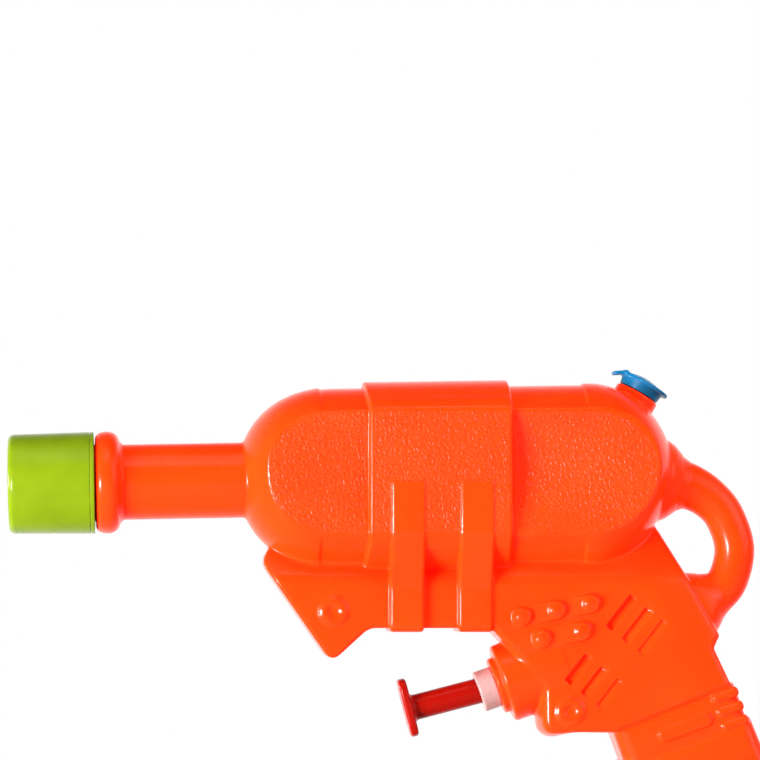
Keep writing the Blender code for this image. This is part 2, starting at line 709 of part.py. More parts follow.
def add_pill(shell, side, word):
    """The raised lozenge on the grip's collar."""
    half_long = PILL_LENGTH / 2
    half_wide = PILL_WIDTH / 2
    middle = GRIP_LENGTH - COLLAR_LENGTH / 2
    corners = box_corners(-half_long, half_long, middle - half_wide, middle + half_wide, half_wide)
    pill = slab(corners, PILL_RAISE + SUNK, PILL_RAISE / 2,
                lambda u, v, w: grip_plane(u, v, side * (COLLAR_HALF_WIDTH - SUNK) + w), edge_steps=1)
    combine(shell, place(f"{word}_grip_pill", pill), "UNION")


def add_ridges(shell):
    back = GRIP_BACK_TOP
    for k in range(RIDGE_COUNT):
        middle = GRIP_LENGTH - RIDGE_THICK / 2 - RIDGE_PITCH * k
        half = RIDGE_THICK / 2
        corners = box_corners(back - RIDGE_LENGTH, back, middle - half, middle + half, half)
        ridge = slab(corners, COLLAR_HALF_WIDTH + RIDGE_RAISE, RIDGE_EDGE, grip_plane)
        combine(shell, place(f"backstrap_ridge_{k}", ridge), "UNION")


def socket_profile():
    lip_end = SOCKET_LIP_LENGTH
    ring_end = lip_end + SOCKET_RING_LENGTH
    rim = SOCKET_RIM
    return [
        (0, 0), (SOCKET_LIP_RADIUS - rim, 0), (SOCKET_LIP_RADIUS, rim), (SOCKET_LIP_RADIUS, lip_end),
        (SOCKET_RING_RADIUS - rim, lip_end), (SOCKET_RING_RADIUS, lip_end + rim),
        (SOCKET_RING_RADIUS, ring_end - rim), (SOCKET_RING_RADIUS - rim, ring_end),
        (SOCKET_BOSS_RADIUS, ring_end), (SOCKET_BOSS_RADIUS, ring_end + SOCKET_BOSS_LENGTH),
        (0, ring_end + SOCKET_BOSS_LENGTH),
    ]


def socket_hollow():
    start = SOCKET_LIP_LENGTH + WALL
    stop = SOCKET_LIP_LENGTH + SOCKET_RING_LENGTH + SOCKET_BOSS_LENGTH + WALL
    reach = SOCKET_BOSS_RADIUS - WALL
    return [(0, start), (reach, start), (reach, stop), (0, stop)]


def drill(radius, start, stop):
    return [(0, start), (radius, start), (radius, stop), (0, stop)]


def tube_profile(inner, outer, start, stop):
    return [(inner, start), (outer, start), (outer, stop), (inner, stop)]


def strap_places():
    return [TANK_NOSE_X + STRAP_FROM_NOSE + STRAP_PITCH * k for k in range(STRAP_COUNT)]


def add_outer_forms(shell, barrel, socket, filler):
    combine(shell, place("web_form", slab(web_corners(), WEB_HALF_WIDTH, WEB_EDGE, side_plane)), "UNION")
    combine(shell, place("body_form", slab(body_corners(), BODY_HALF_WIDTH, BODY_EDGE, side_plane)), "UNION")
    combine(shell, place("band_form", band_form()), "UNION")
    for k, x in enumerate(strap_places()):
        form = slab(strap_corners(), STRAP_WIDTH / 2, STRAP_EDGE, cross_plane(x), edge_steps=1)
        combine(shell, place(f"strap_form_{k}", form), "UNION")
    combine(shell, place("grip_form", slab(grip_corners(), GRIP_HALF_WIDTH, GRIP_EDGE, grip_plane)), "UNION")
    collar = slab(collar_corners(), COLLAR_HALF_WIDTH, GRIP_EDGE, grip_plane)
    combine(shell, place("collar_form", collar), "UNION")
    combine(shell, place("loop_form", loop_form(0)), "UNION")
    tube = revolve(barrel_profile(0, MOUTH), BARREL_STEPS)
    combine(shell, place("barrel_form", tube, parent=barrel), "UNION")
    combine(shell, place("socket_form", revolve(socket_profile(), PUMP_STEPS), parent=socket), "UNION")
    neck = drill(FILLER_RADIUS, -FILLER_NECK_LENGTH, 0)
    combine(shell, place("neck_form", revolve(neck, FILLER_STEPS), parent=filler), "UNION")


def cut_hollows(shell, barrel, pump, socket, filler):
    """Hollow every form by the wall's thickness, then open muzzle, pump socket and filler neck."""
    plates = (
        ("web", web_corners(), WEB_HALF_WIDTH, WEB_EDGE, side_plane),
        ("body", body_corners(), BODY_HALF_WIDTH, BODY_EDGE, side_plane),
        ("grip", grip_corners(), GRIP_HALF_WIDTH, GRIP_EDGE, grip_plane),
        ("collar", collar_corners(), COLLAR_HALF_WIDTH, GRIP_EDGE, grip_plane),
        *((f"strap_{k}", strap_corners(), STRAP_WIDTH / 2, STRAP_EDGE, cross_plane(x))
          for k, x in enumerate(strap_places())),
    )
    combine(shell, place("tank_hollow", tank_form(WALL, HOLLOW_ARC_STEPS, HOLLOW_DEPTH_STEPS)), "DIFFERENCE")
    for name, corners, half_width, edge, to_space in plates:
        hollow = slab(corners, half_width, edge, to_space, WALL, 1, 1)
        combine(shell, place(f"{name}_hollow", hollow), "DIFFERENCE")
    combine(shell, place("loop_hollow", loop_form(WALL)), "DIFFERENCE")
    boss_end = SOCKET_SETBACK + SOCKET_LIP_LENGTH + SOCKET_RING_LENGTH + SOCKET_BOSS_LENGTH
    turned = (
        ("barrel_hollow", barrel_profile(WALL, MOUTH + SUNK), BARREL_STEPS, barrel),
        ("socket_hollow", socket_hollow(), PUMP_STEPS, socket),
        ("pump_bore", drill(SOCKET_BORE, 0, boss_end), PUMP_STEPS, pump),
        ("neck_bore", drill(FILLER_BORE, -FILLER_NECK_LENGTH - SUNK, SUNK), FILLER_STEPS, filler),
    )
    for name, profile, steps, axis in turned:
        combine(shell, place(name, revolve(profile, steps, CUT_PHASE), parent=axis), "DIFFERENCE")


def make_shell(finish, barrel, pump, socket, filler):
    """The blow-moulded body: one hollow skin round tank, barrel, web, grip and loop handle."""
    shell = place("body_shell", tank_form(0, TANK_ARC_STEPS, TANK_DEPTH_STEPS), finish)
    add_outer_forms(shell, barrel, socket, filler)
    add_ridges(shell)
    for side, word in zip(SIDES, ("left", "right")):
        add_studs(shell, side, word)
        add_rivets(shell, side, word)
        cut_slots(shell, side, word)
        add_pill(shell, side, word)
    cut_hollows(shell, barrel, pump, socket, filler)


def make_muzzle(green, white, rubber, barrel):
    """Cap with an inner sleeve over the barrel's neck, flat seal, nozzle body and nozzle tip."""
    sleeve_in = BARREL_RADIUS + SEAT_GAP
    sleeve_out = sleeve_in + CAP_SLEEVE_WALL
    skirt_in = CAP_REAR_RADIUS - CAP_WALL
    inside = CAP_FRONT - CAP_WALL
    hole = NOZZLE_RADIUS + SEAT_GAP
    bevel = CAP_EDGE * (1 - math.cos(math.pi / 4))
    cap = [
        (CAP_REAR_RADIUS, CAP_START), (CAP_FRONT_RADIUS, CAP_FRONT - CAP_EDGE),
        (CAP_FRONT_RADIUS - bevel, CAP_FRONT - bevel),
        (CAP_FRONT_RADIUS - CAP_EDGE, CAP_FRONT),
        (hole, CAP_FRONT), (hole, inside), (sleeve_in, inside), (sleeve_in, CAP_START + CAP_WALL),
        (sleeve_out, CAP_START + CAP_WALL), (sleeve_out, inside),
        (skirt_in - bevel, inside), (skirt_in, CAP_START),
    ]
    place("muzzle_cap", revolve(cap, BARREL_STEPS), green, barrel)

    seal_out = BARREL_RADIUS
    seal_in = seal_out - SEAL_WIDTH
    seal = tube_profile(seal_in, seal_out, MOUTH + SEAT_GAP, SEAL_FRONT)
    place("muzzle_seal", revolve(seal, BARREL_STEPS), rubber, barrel)

    flange = BARREL_RADIUS - WALL - SEAT_GAP
    body = [
        (PORT_RADIUS, NOZZLE_REAR - SPIGOT_LENGTH), (SPIGOT_RADIUS, NOZZLE_REAR - SPIGOT_LENGTH),
        (SPIGOT_RADIUS, NOZZLE_REAR), (NOZZLE_RADIUS, NOZZLE_REAR), (NOZZLE_RADIUS, MOUTH - NOZZLE_FLANGE),
        (flange, MOUTH - NOZZLE_FLANGE), (flange, MOUTH), (NOZZLE_RADIUS, MOUTH),
        (NOZZLE_RADIUS, NOZZLE_FRONT),
        (CHAMBER_RADIUS, NOZZLE_FRONT), (CHAMBER_RADIUS, OUTLET_SEAT + SEAT_LENGTH / 2),
        (PORT_RADIUS, OUTLET_SEAT - SEAT_LENGTH / 2),
    ]
    place("nozzle_body", revolve(body, PUMP_STEPS), white, barrel)

    plug = CHAMBER_RADIUS - SEAT_GAP
    well = NOZZLE_FRONT - SEAT_LENGTH
    tip = [
        (JET_RADIUS, TIP_REAR), (plug, TIP_REAR), (plug, NOZZLE_FRONT),
        (JET_RADIUS * 2, NOZZLE_FRONT), (JET_RADIUS, well),
    ]
    place("nozzle_tip", revolve(tip, SMALL_STEPS), white, barrel)


def make_ball(name, finish, parent, middle):
    """A valve ball, its origin on the axis that it lifts along."""
    bm = bmesh.new()
    bmesh.ops.create_uvsphere(bm, u_segments=BALL_SEGMENTS, v_segments=BALL_RINGS, radius=BALL_RADIUS)
    ball = place(name, bm, finish, parent)
    ball.location = (0, 0, middle)


def coil_path(radius, start, stop, turns):
    """An even helix from start to stop."""
    count = turns * SPRING_POINTS
    path = []
    for k in range(count + 1):
        angle = 2 * math.pi * k / SPRING_POINTS
        height = start + (stop - start) * k / count
        path.append(Vector((radius * math.cos(angle), radius * math.sin(angle), height)))
    return path


def make_spring(name, finish, parent, radius, wire, start, stop, turns):
    """A coil spring as one round wire; prints the least gap between its turns."""
    path = coil_path(radius, start + wire, stop - wire, turns)
    least = min((a - b).length for k, a in enumerate(path) for b in path[k + SPRING_POINTS // 2:]) - 2 * wire
    print(f"{name}: least gap between turns {least / MM:.2f} mm, wanted over {LEAST_COIL_GAP / MM:.2f} mm")
    place(name, sweep(path, [wire] * len(path), SPRING_SIDES), finish, parent)


def make_gland(white, rubber, pump):
    """White sleeve round the rod, with a rubber wiper in its groove and a washer behind its skirt."""
    rod_hole = ROD_RADIUS + SLIDE_GAP
    skirt_in = CYLINDER_RADIUS + SLIDE_GAP
    groove = rod_hole + ROD_SEAL_DEPTH
    groove_start = (GLAND_WALL - ROD_SEAL_GROOVE) / 2
    groove_stop = groove_start + ROD_SEAL_GROOVE
    gland = [
        (rod_hole, 0), (GLAND_RADIUS - GLAND_EDGE, 0), (GLAND_RADIUS, GLAND_EDGE),
        (GLAND_RADIUS, GLAND_LENGTH), (skirt_in, GLAND_LENGTH), (skirt_in, GLAND_WALL),
        (rod_hole, GLAND_WALL), (rod_hole, groove_stop), (groove, groove_stop), (groove, groove_start),
        (rod_hole, groove_start),
    ]
    place("pump_gland", revolve(gland, PUMP_STEPS), white, pump)
    wiper = tube_profile(ROD_RADIUS + SLIDE_GAP / 2, groove - SLIDE_GAP, groove_start + SLIDE_GAP,
                         groove_stop - SLIDE_GAP)
    place("rod_seal", revolve(wiper, PUMP_STEPS), rubber, pump)
    washer = tube_profile(skirt_in, GLAND_RADIUS, WASHER_START, WASHER_STOP)
    place("pump_washer", revolve(washer, PUMP_STEPS), rubber, pump)


def make_cylinder(white, pump):
    """Pump cylinder with the inlet socket behind it and the outlet spigot on top."""
    barrel = [
        (CYLINDER_BORE, CYLINDER_START), (CYLINDER_RADIUS, CYLINDER_START), (CYLINDER_RADIUS, CYLINDER_STOP),
        (INLET_SOCKET_RADIUS, CYLINDER_STOP), (INLET_SOCKET_RADIUS, INLET_STOP),
        (INLET_SOCKET_BORE, INLET_STOP), (INLET_SOCKET_BORE, CYLINDER_STOP),
        (PORT_RADIUS, CYLINDER_STOP), (PORT_RADIUS, CHAMBER_END), (CYLINDER_BORE, CHAMBER_END),
    ]
    cylinder = place("pump_cylinder", revolve(barrel, PUMP_STEPS), white, pump)
    turn = pump.matrix_world.to_3x3()
    middle = pump.matrix_world @ Vector((0, 0, OUTLET_PLACE))
    outlet = axis_frame("outlet_axis", middle, turn.col[0], turn.col[1])
    spigot = revolve(drill(SPIGOT_RADIUS, CYLINDER_RADIUS - CYLINDER_WALL / 2, SPIGOT_TIP), SMALL_STEPS)
    combine(cylinder, place("outlet_spigot", spigot, parent=outlet), "UNION")
    port = revolve(drill(PORT_RADIUS, CYLINDER_BORE / 2, SPIGOT_TIP + SUNK), STUD_STEPS, CUT_PHASE)
    combine(cylinder, place("outlet_port", port, parent=outlet), "DIFFERENCE")


def make_plunger(red, rubber, steel, pump):
    """Red rod with its finger plate and grooved piston, the piston's seal and the return spring."""
    piston = CYLINDER_BORE - SLIDE_GAP
    groove = piston - PISTON_GROOVE_DEPTH
    groove_start = PISTON_START + (PISTON_LENGTH - PISTON_GROOVE) / 2
    groove_stop = groove_start + PISTON_GROOVE
    rod = [
        (0, -ROD_REACH), (ROD_RADIUS, -ROD_REACH), (ROD_RADIUS, CYLINDER_START), (piston, PISTON_START),
        (piston, groove_start), (groove, groove_start), (groove, groove_stop), (piston, groove_stop),
        (piston, PISTON_END), (0, PISTON_END),
    ]
    plunger = place("trigger_plunger", revolve(rod, PUMP_STEPS), red, pump)
    half_high = PLATE_HEIGHT / 2
    half_wide = PLATE_WIDTH / 2
    corners = box_corners(-half_high, half_high, -half_wide, half_wide, PLATE_CORNER)
    plate = slab(corners, PLATE_THICK / 2, PLATE_THICK / 3,
                 lambda u, v, w: Vector((u, v, w - ROD_REACH - PLATE_THICK / 2 + SLIDE_GAP)))
    combine(plunger, place("finger_plate", plate, parent=pump), "UNION")

    ring = tube_profile(groove + SLIDE_GAP, CYLINDER_BORE - SLIDE_GAP / 2, groove_start + SLIDE_GAP,
                        groove_stop - SLIDE_GAP)
    place("piston_seal", revolve(ring, PUMP_STEPS), rubber, pump)
    make_spring("return_spring", steel, pump, CYLINDER_BORE - SEAT_GAP - SPRING_WIRE, SPRING_WIRE,
                PISTON_END + SEAT_GAP, CHAMBER_END - SEAT_GAP, SPRING_TURNS)


def make_inlet_valve(white, steel, pump):
    """Ball, the cage that stops its lift, and the fitting with the valve seat and the hose spigot."""
    cage = tube_profile(PORT_RADIUS, FITTING_RADIUS, CYLINDER_STOP + SEAT_GAP, CAGE_END)
    place("ball_cage", revolve(cage, SMALL_STEPS), white, pump)
    make_ball("inlet_ball", steel, pump, INLET_BALL)
    cup_start = CAGE_END + SEAT_GAP
    flange_start = FITTING_FLANGE - WALL
    spigot_end = FITTING_FLANGE + SPIGOT_LENGTH
    fitting = [
        (FITTING_BORE, cup_start), (FITTING_RADIUS, cup_start), (FITTING_RADIUS, flange_start),
        (INLET_SOCKET_RADIUS, flange_start), (INLET_SOCKET_RADIUS, FITTING_FLANGE),
        (SPIGOT_RADIUS, FITTING_FLANGE), (SPIGOT_RADIUS, spigot_end), (PORT_RADIUS, spigot_end),
        (PORT_RADIUS, INLET_SEAT + SEAT_LENGTH / 2), (FITTING_BORE, INLET_SEAT - SEAT_LENGTH / 2),
    ]
    place("inlet_fitting", revolve(fitting, SMALL_STEPS), white, pump)


def make_outlet_valve(steel, barrel):
    make_ball("outlet_ball", steel, barrel, OUTLET_BALL)
    radius = CHAMBER_RADIUS - SLIDE_GAP * 2 - VALVE_SPRING_WIRE
    drop = math.sqrt(max(BALL_RADIUS ** 2 - (radius - VALVE_SPRING_WIRE) ** 2, 0))
    start = OUTLET_BALL + drop + SEAT_GAP
    make_spring("outlet_spring", steel, barrel, radius, VALVE_SPRING_WIRE, start, TIP_REAR - SEAT_GAP,
                VALVE_SPRING_TURNS)


def make_hoses(clear, barrel, pump):
    """Delivery hose from the pump's spigot to the nozzle, and pickup hose from the inlet into the grip."""
    bore = HOSE_RADIUS - HOSE_WALL
    turn = pump.matrix_world.to_3x3()
    upward = turn.col[0].copy()
    inward = turn.col[2].copy()
    root = pump.matrix_world @ Vector((CYLINDER_RADIUS + SEAT_GAP * 2, 0, OUTLET_PLACE))
    rise = pump.matrix_world @ Vector((SPIGOT_TIP, 0, OUTLET_PLACE))
    muzzle = barrel.matrix_world @ Vector((0, 0, NOZZLE_REAR - SEAT_GAP))
    entry = barrel.matrix_world @ Vector((0, 0, -DELIVERY_ENTRY))
    back = -barrel.matrix_world.to_3x3().col[2]
    path = [root]
    path += interpolate_bezier(rise, rise + upward * DELIVERY_BEND, entry + back * DELIVERY_BEND, entry,
                               DELIVERY_STEPS)
    path += [entry.lerp(muzzle, 0.5), muzzle]
    place("delivery_hose", sweep(path, [HOSE_RADIUS] * len(path), HOSE_SIDES, bore), clear)

    root = pump.matrix_world @ Vector((0, 0, FITTING_FLANGE + SEAT_GAP))
    leave = pump.matrix_world @ Vector((0, 0, FITTING_FLANGE + SPIGOT_LENGTH))
    down = grip_plane(PICKUP_OFFSET, GRIP_LENGTH, 0)
    foot = grip_plane(PICKUP_OFFSET, WALL + PICKUP_CLEAR, 0)
    drop = (foot - down).normalized()
    bend = (down - leave).length / 2
    path = [root] + interpolate_bezier(leave, leave + inward * bend, down - drop * bend, down, PICKUP_STEPS)
    path += [down.lerp(foot, 0.5), foot]
    place("pickup_hose", sweep(path, [HOSE_RADIUS] * len(path), HOSE_SIDES, bore), clear)


def make_plug(blue, filler):
    """Push-in plug with a hollow stem and a pull tab towards the muzzle."""
    stem = FILLER_BORE - SEAT_GAP
    hollow = stem - PLUG_WALL
    skirt_top = SEAT_GAP + PLUG_SKIRT_HEIGHT
    top = skirt_top + PLUG_DISC_THICK
    rim = PLUG_DISC_THICK / 4
    profile = [
        (0, skirt_top), (hollow, skirt_top), (hollow, -PLUG_STEM_LENGTH), (stem, -PLUG_STEM_LENGTH),
        (stem, SEAT_GAP), (PLUG_SKIRT_RADIUS, SEAT_GAP), (PLUG_SKIRT_RADIUS, skirt_top),
        (PLUG_DISC_RADIUS, skirt_top), (PLUG_DISC_RADIUS, top - rim), (PLUG_DISC_RADIUS - rim, top), (0, top),
    ]
    plug = place("filler_plug", revolve(profile, FILLER_STEPS), blue, filler)
    reach = PLUG_DISC_RADIUS - PLUG_SKIRT_RADIUS + TAB_REACH
    half = TAB_WIDTH / 2
    corners = [(0, -half, SLIDE_GAP), (reach, -half, TAB_REACH / 2), (reach, half, TAB_REACH / 2),
               (0, half, SLIDE_GAP)]
    root = Vector((PLUG_SKIRT_RADIUS, 0, skirt_top + PLUG_DISC_THICK / 2))
    outward = Vector((math.cos(TAB_DROOP), 0, -math.sin(TAB_DROOP)))
    upward = Vector((math.sin(TAB_DROOP), 0, math.cos(TAB_DROOP)))
    tab = slab(corners, TAB_THICK / 2, TAB_THICK / 3,
               lambda u, v, w: root + outward * u + Vector((0, v, 0)) + upward * w, edge_steps=1)
    combine(plug, place("pull_tab", tab, parent=filler), "UNION")


def main():
    clear_scene()
    orange = paint("orange_moulding", (0.98, 0.13, 0.02), 0.38)
    green = paint("green_cap", (0.36, 0.62, 0.03), 0.30)
    red = paint("red_plunger", (0.70, 0.02, 0.01), 0.30)
    white = paint("white_moulding", (0.85, 0.83, 0.80), 0.40)
    blue = paint("blue_plug", (0.01, 0.20, 0.55), 0.32)
    clear = paint("clear_hose", (0.75, 0.78, 0.78), 0.25)
    rubber = paint("black_rubber", (0.03, 0.03, 0.03), 0.70)
    steel = paint("spring_steel", (0.60, 0.60, 0.60), 0.30, 1.0)

    droop = Vector((-math.cos(BARREL_DROOP), 0, -math.sin(BARREL_DROOP)))
    inward = Vector((math.cos(PUMP_TILT), 0, math.sin(PUMP_TILT)))
    socket_in = Vector((math.cos(SOCKET_TILT), 0, math.sin(SOCKET_TILT)))
    outward = Vector((math.sin(FILLER_TILT), 0, math.cos(FILLER_TILT)))
    upward = Vector((0, 0, 1))
    mouth_x, mouth_z = tank_point(PUMP_MOUTH_FROM_NOSE, -PUMP_MOUTH_DROP)
    mouth = Vector((mouth_x, 0, mouth_z))
    neck = Vector((TANK_REAR_X - FILLER_FROM_REAR, 0, TANK_AXIS_Z + FILLER_ABOVE_AXIS))
    nose = Vector((TANK_NOSE_X, 0, TANK_AXIS_Z - BARREL_AXIS_DROP))
    barrel = axis_frame("barrel_axis", nose, droop, upward)
    pump = axis_frame("pump_axis", mouth, inward, upward)
    socket = axis_frame("socket_axis", mouth + inward * SOCKET_SETBACK, socket_in, upward)
    filler = axis_frame("filler_axis", neck, outward, Vector((-1, 0, 0)))

    make_shell(orange, barrel, pump, socket, filler)
    make_muzzle(green, white, rubber, barrel)
    make_outlet_valve(steel, barrel)
    make_gland(white, rubber, pump)
    make_cylinder(white, pump)
    make_plunger(red, rubber, steel, pump)
    make_inlet_valve(white, steel, pump)
    make_hoses(clear, barrel, pump)
    make_plug(blue, filler)


main()
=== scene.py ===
"""Looks of the water squirter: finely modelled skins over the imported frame, finishes, studio and camera."""

import math

import bmesh
import bpy
import numpy as np
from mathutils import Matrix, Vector


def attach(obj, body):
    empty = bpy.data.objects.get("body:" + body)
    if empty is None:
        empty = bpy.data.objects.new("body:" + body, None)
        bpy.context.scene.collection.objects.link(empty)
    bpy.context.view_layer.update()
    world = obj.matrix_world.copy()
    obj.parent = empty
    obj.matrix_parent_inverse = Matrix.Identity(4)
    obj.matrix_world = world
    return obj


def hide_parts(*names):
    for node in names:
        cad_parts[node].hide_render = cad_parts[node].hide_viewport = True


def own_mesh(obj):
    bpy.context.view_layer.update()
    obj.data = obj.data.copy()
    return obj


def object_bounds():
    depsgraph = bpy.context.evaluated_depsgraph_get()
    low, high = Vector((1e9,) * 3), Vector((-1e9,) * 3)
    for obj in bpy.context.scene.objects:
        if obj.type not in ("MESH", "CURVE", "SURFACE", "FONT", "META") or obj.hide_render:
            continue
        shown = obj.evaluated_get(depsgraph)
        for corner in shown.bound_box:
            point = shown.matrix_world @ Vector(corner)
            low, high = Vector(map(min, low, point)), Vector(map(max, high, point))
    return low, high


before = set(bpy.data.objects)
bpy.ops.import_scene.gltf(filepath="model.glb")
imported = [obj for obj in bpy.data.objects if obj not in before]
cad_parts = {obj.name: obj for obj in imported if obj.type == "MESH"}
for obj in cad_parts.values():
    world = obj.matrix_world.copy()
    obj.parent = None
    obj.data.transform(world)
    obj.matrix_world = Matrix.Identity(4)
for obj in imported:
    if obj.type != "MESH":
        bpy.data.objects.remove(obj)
CAD_LOW, CAD_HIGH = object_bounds()

MM = 0.001

# Fineness of the modelled skins
SHELL_STEP = 0.6 * MM
SMALL_STEP = 0.3 * MM
SHELL_TRIANGLES = 190000
SMALL_TRIANGLES = 40000
LATHE_SIDES = 128
LATHE_SHARP = math.radians(40)
CORNER_STEPS = 6
CORNER_SHARE = 0.48
PROJECT_ROUNDS = 3
SLOPE_REACH = 0.6
FAR = 50.0 * MM
MARGIN = 4.0 * MM
ROOM = 2.0 * MM
ROOM_REAR = 3.0 * MM
BLEND = 0.4 * MM
CRISP = 0.1 * MM
FINE = 0.25 * MM
TINY = 1e-12
WALL = 1.5 * MM
SEAT_GAP = 0.3 * MM
SLIDE_GAP = 0.2 * MM

# Tank: a stadium outline with grained, dished sides and arched borders
TANK_LENGTH = 156.6 * MM
TANK_HALF_HEIGHT = 33.0 * MM
TANK_HALF_WIDTH = 22.0 * MM
BORDER_HIGH = 10.0 * MM
BORDER_LOW = 12.7 * MM
BORDER_NOSE = 10.6 * MM
BORDER_TAIL = 6.9 * MM
TANK_REAR_X = -25.0 * MM
TANK_AXIS_Z = 149.9 * MM
TANK_NOSE_X = TANK_REAR_X - TANK_LENGTH
NOSE_DEPTH = 36.0 * MM
NOSE_SAG = 0.6 * MM
NOSE_POWER = 2.2
TAIL_DEPTH = 29.5 * MM
TAIL_OVERHANG = 0.2 * MM
TAIL_LEAN = 3.0 * MM
TAIL_RISE = 1.0 * MM
TAIL_POWER = 1.85
NOSE_HUB = TANK_NOSE_X + NOSE_DEPTH
TAIL_HUB = TANK_REAR_X + TAIL_OVERHANG - TAIL_DEPTH
ARC_STEPS = 40
CREASE = 0.6 * MM
DOME_STEP = 0.6 * MM
DISH_FRONT = 1.6 * MM
DISH_FRONT_RUN = 34.0 * MM
DISH_REAR = 3.8 * MM
DISH_REAR_RUN = 58.0 * MM
DISH_WALL = 20.0 * MM
PANEL_Z = TANK_AXIS_Z + (BORDER_LOW - BORDER_HIGH) / 2
PANEL_HALF_HEIGHT = TANK_HALF_HEIGHT - (BORDER_LOW + BORDER_HIGH) / 2
DOME_STEP_FRONT = 28.8 * MM
DOME_STEP_REAR = 124.6 * MM
DOME_STEP_SLOPE = 0.9 * MM
DOME_STEP_SHARE = 0.8

# Raised band, and the two straps that run from it under the web
BAND_FROM_NOSE = 46.4 * MM
BAND_LENGTH = 50.6 * MM
BAND_RAISE = 2.2 * MM
BAND_EDGE = 0.9 * MM
BAND_LEAN = 1.6 * MM
BAND_BLEND = 0.15 * MM
STRAP_COUNT = 2
STRAP_FROM_NOSE = 60.1 * MM
STRAP_PITCH = 24.5 * MM
STRAP_WIDTH = 12.2 * MM
STRAP_CHEST = 24.8 * MM
STRAP_FOOT = 15.2 * MM
STRAP_TOP_DROP = 1.8 * MM
STRAP_CREASE_DROP = 21.4 * MM
STRAP_SLOPE_DROP = 39.4 * MM
STRAP_BOTTOM_DROP = 55.6 * MM
STRAP_BEND = 7.0 * MM
STRAP_EDGE = 1.1 * MM
STRAP_FOOT_CORNER = 3.0 * MM

# Web with its snout
WEB_HALF_WIDTH = 12.4 * MM
WEB_EDGE = 1.6 * MM
WEB_DROP = 54.2 * MM
WEB_OVERLAP = 8.0 * MM
VALLEY_DROP = 37.0 * MM
VALLEY_SLOPE = 0.55
WEB_BLEND = 3.0 * MM
WEB_BLEND_START = 11.0 * MM
WEB_BLEND_RUN = 18.0 * MM
WEB_RIDGE_BLEND = 1.2 * MM
WEB_RIDGE_START = 3.0 * MM
WEB_RIDGE_STOP = 9.0 * MM
SNOUT_SETBACK = 8.2 * MM
SNOUT_SHOULDER_DROP = 30.6 * MM
SNOUT_TIP_SETBACK = 33.3 * MM
SNOUT_TIP_DROP = 66.5 * MM
SNOUT_HEEL_SETBACK = 46.7 * MM
SNOUT_CORNER = 4.0 * MM
SNOUT_SHOULDER_RUN = 5.4 * MM
SNOUT_SHOULDER_CORNER = 6.0 * MM
SNOUT_HEEL_BEND = 7.0 * MM

# Lower body
BODY_HALF_WIDTH = 14.0 * MM
BODY_EDGE = 2.6 * MM
BODY_BLEND = 1.2 * MM
BODY_FALL_RUN = 9.0 * MM
BODY_FALL_SLOPE = 0.27
CHIN_CROWN = 2.0 * MM
CHIN_DROP = 70.0 * MM
CHIN_FROM_NOSE = 112.0 * MM
CHIN_FADE = 11.0 * MM
BODY_FRONT = ((87.0, -16.4, 1.0), (87.0, -50.8, 2.0), (95.8, -60.2, 8.0), (109.2, -75.2, 6.0),
              (109.3, -91.2, 4.0))
BODY_SPUR = (172.8 * MM, -56.8 * MM)
BODY_BACK = (144.1 * MM, -4.9 * MM)
BODY_NOTCH = 4.6 * MM
BODY_NOTCH_CORNER = 1.2 * MM

# Grip, in a frame that leans back by the rake
GRIP_RAKE = math.radians(20)
GRIP_LENGTH = 72.0 * MM
GRIP_FRONT = 26.9 * MM
GRIP_BACK_TOP = 23.6 * MM
GRIP_BACK_BUTT = 26.0 * MM
GRIP_HALF_WIDTH = 14.4 * MM
GRIP_EDGE = 5.5 * MM
COLLAR_LENGTH = 11.8 * MM
COLLAR_STEP = 2.4 * MM
COLLAR_HALF_WIDTH = 13.4 * MM
COLLAR_OVERLAP = 1.8 * MM
COLLAR_CORNER = 2.0 * MM
BUTT_CORNER = 5.5 * MM
SHOULDER_CORNER = 1.5 * MM
RIDGE_COUNT = 3
RIDGE_PITCH = 5.3 * MM
RIDGE_THICK = 4.0 * MM
RIDGE_LENGTH = 11.5 * MM
RIDGE_RAISE = 0.9 * MM
RIDGE_INSET = 0.9 * MM
RIDGE_EDGE = 1.8 * MM
PILL_LENGTH = 20.5 * MM
PILL_WIDTH = 5.2 * MM
PILL_RAISE = 1.1 * MM
PILL_DROP = 2.0 * MM

# Loop handle: offsets from the tank's rear end and axis, and the tube's radius
LOOP_ROUTE = [Vector(spot) * MM for spot in (
    (-5.7, -1.2, 8.7), (1.9, -1.8, 8.5), (7.5, -3.6, 8.2), (13.5, -7.2, 7.6), (19.2, -13.6, 7.2),
    (23.0, -25.2, 7.2), (20.7, -36.4, 7.3), (15.9, -42.2, 7.5), (8.9, -46.6, 7.7),
)]
LOOP_STEPS = 6
SEAT_DEPTH = 8.0 * MM
LOOP_BLEND = 1.0 * MM
ROOT_EDGE = 2.0 * MM
ROOT_BLEND = 0.8 * MM

# Roots of the loop: offsets, nod in degrees, half-width, and steps as (along, radius)
ROOTS = (
    (0.0, -1.8, -9.0, 20.0, ((-3.0, 14.8), (-0.5, 13.4), (2.4, 10.8), (2.6, 10.4), (5.4, 8.6), (5.6, 8.3))),
    (9.8, -45.3, 29.0, 11.0, ((-0.4, 11.5), (0.0, 12.8), (4.4, 9.9), (4.6, 9.6), (9.6, 6.9))),
)

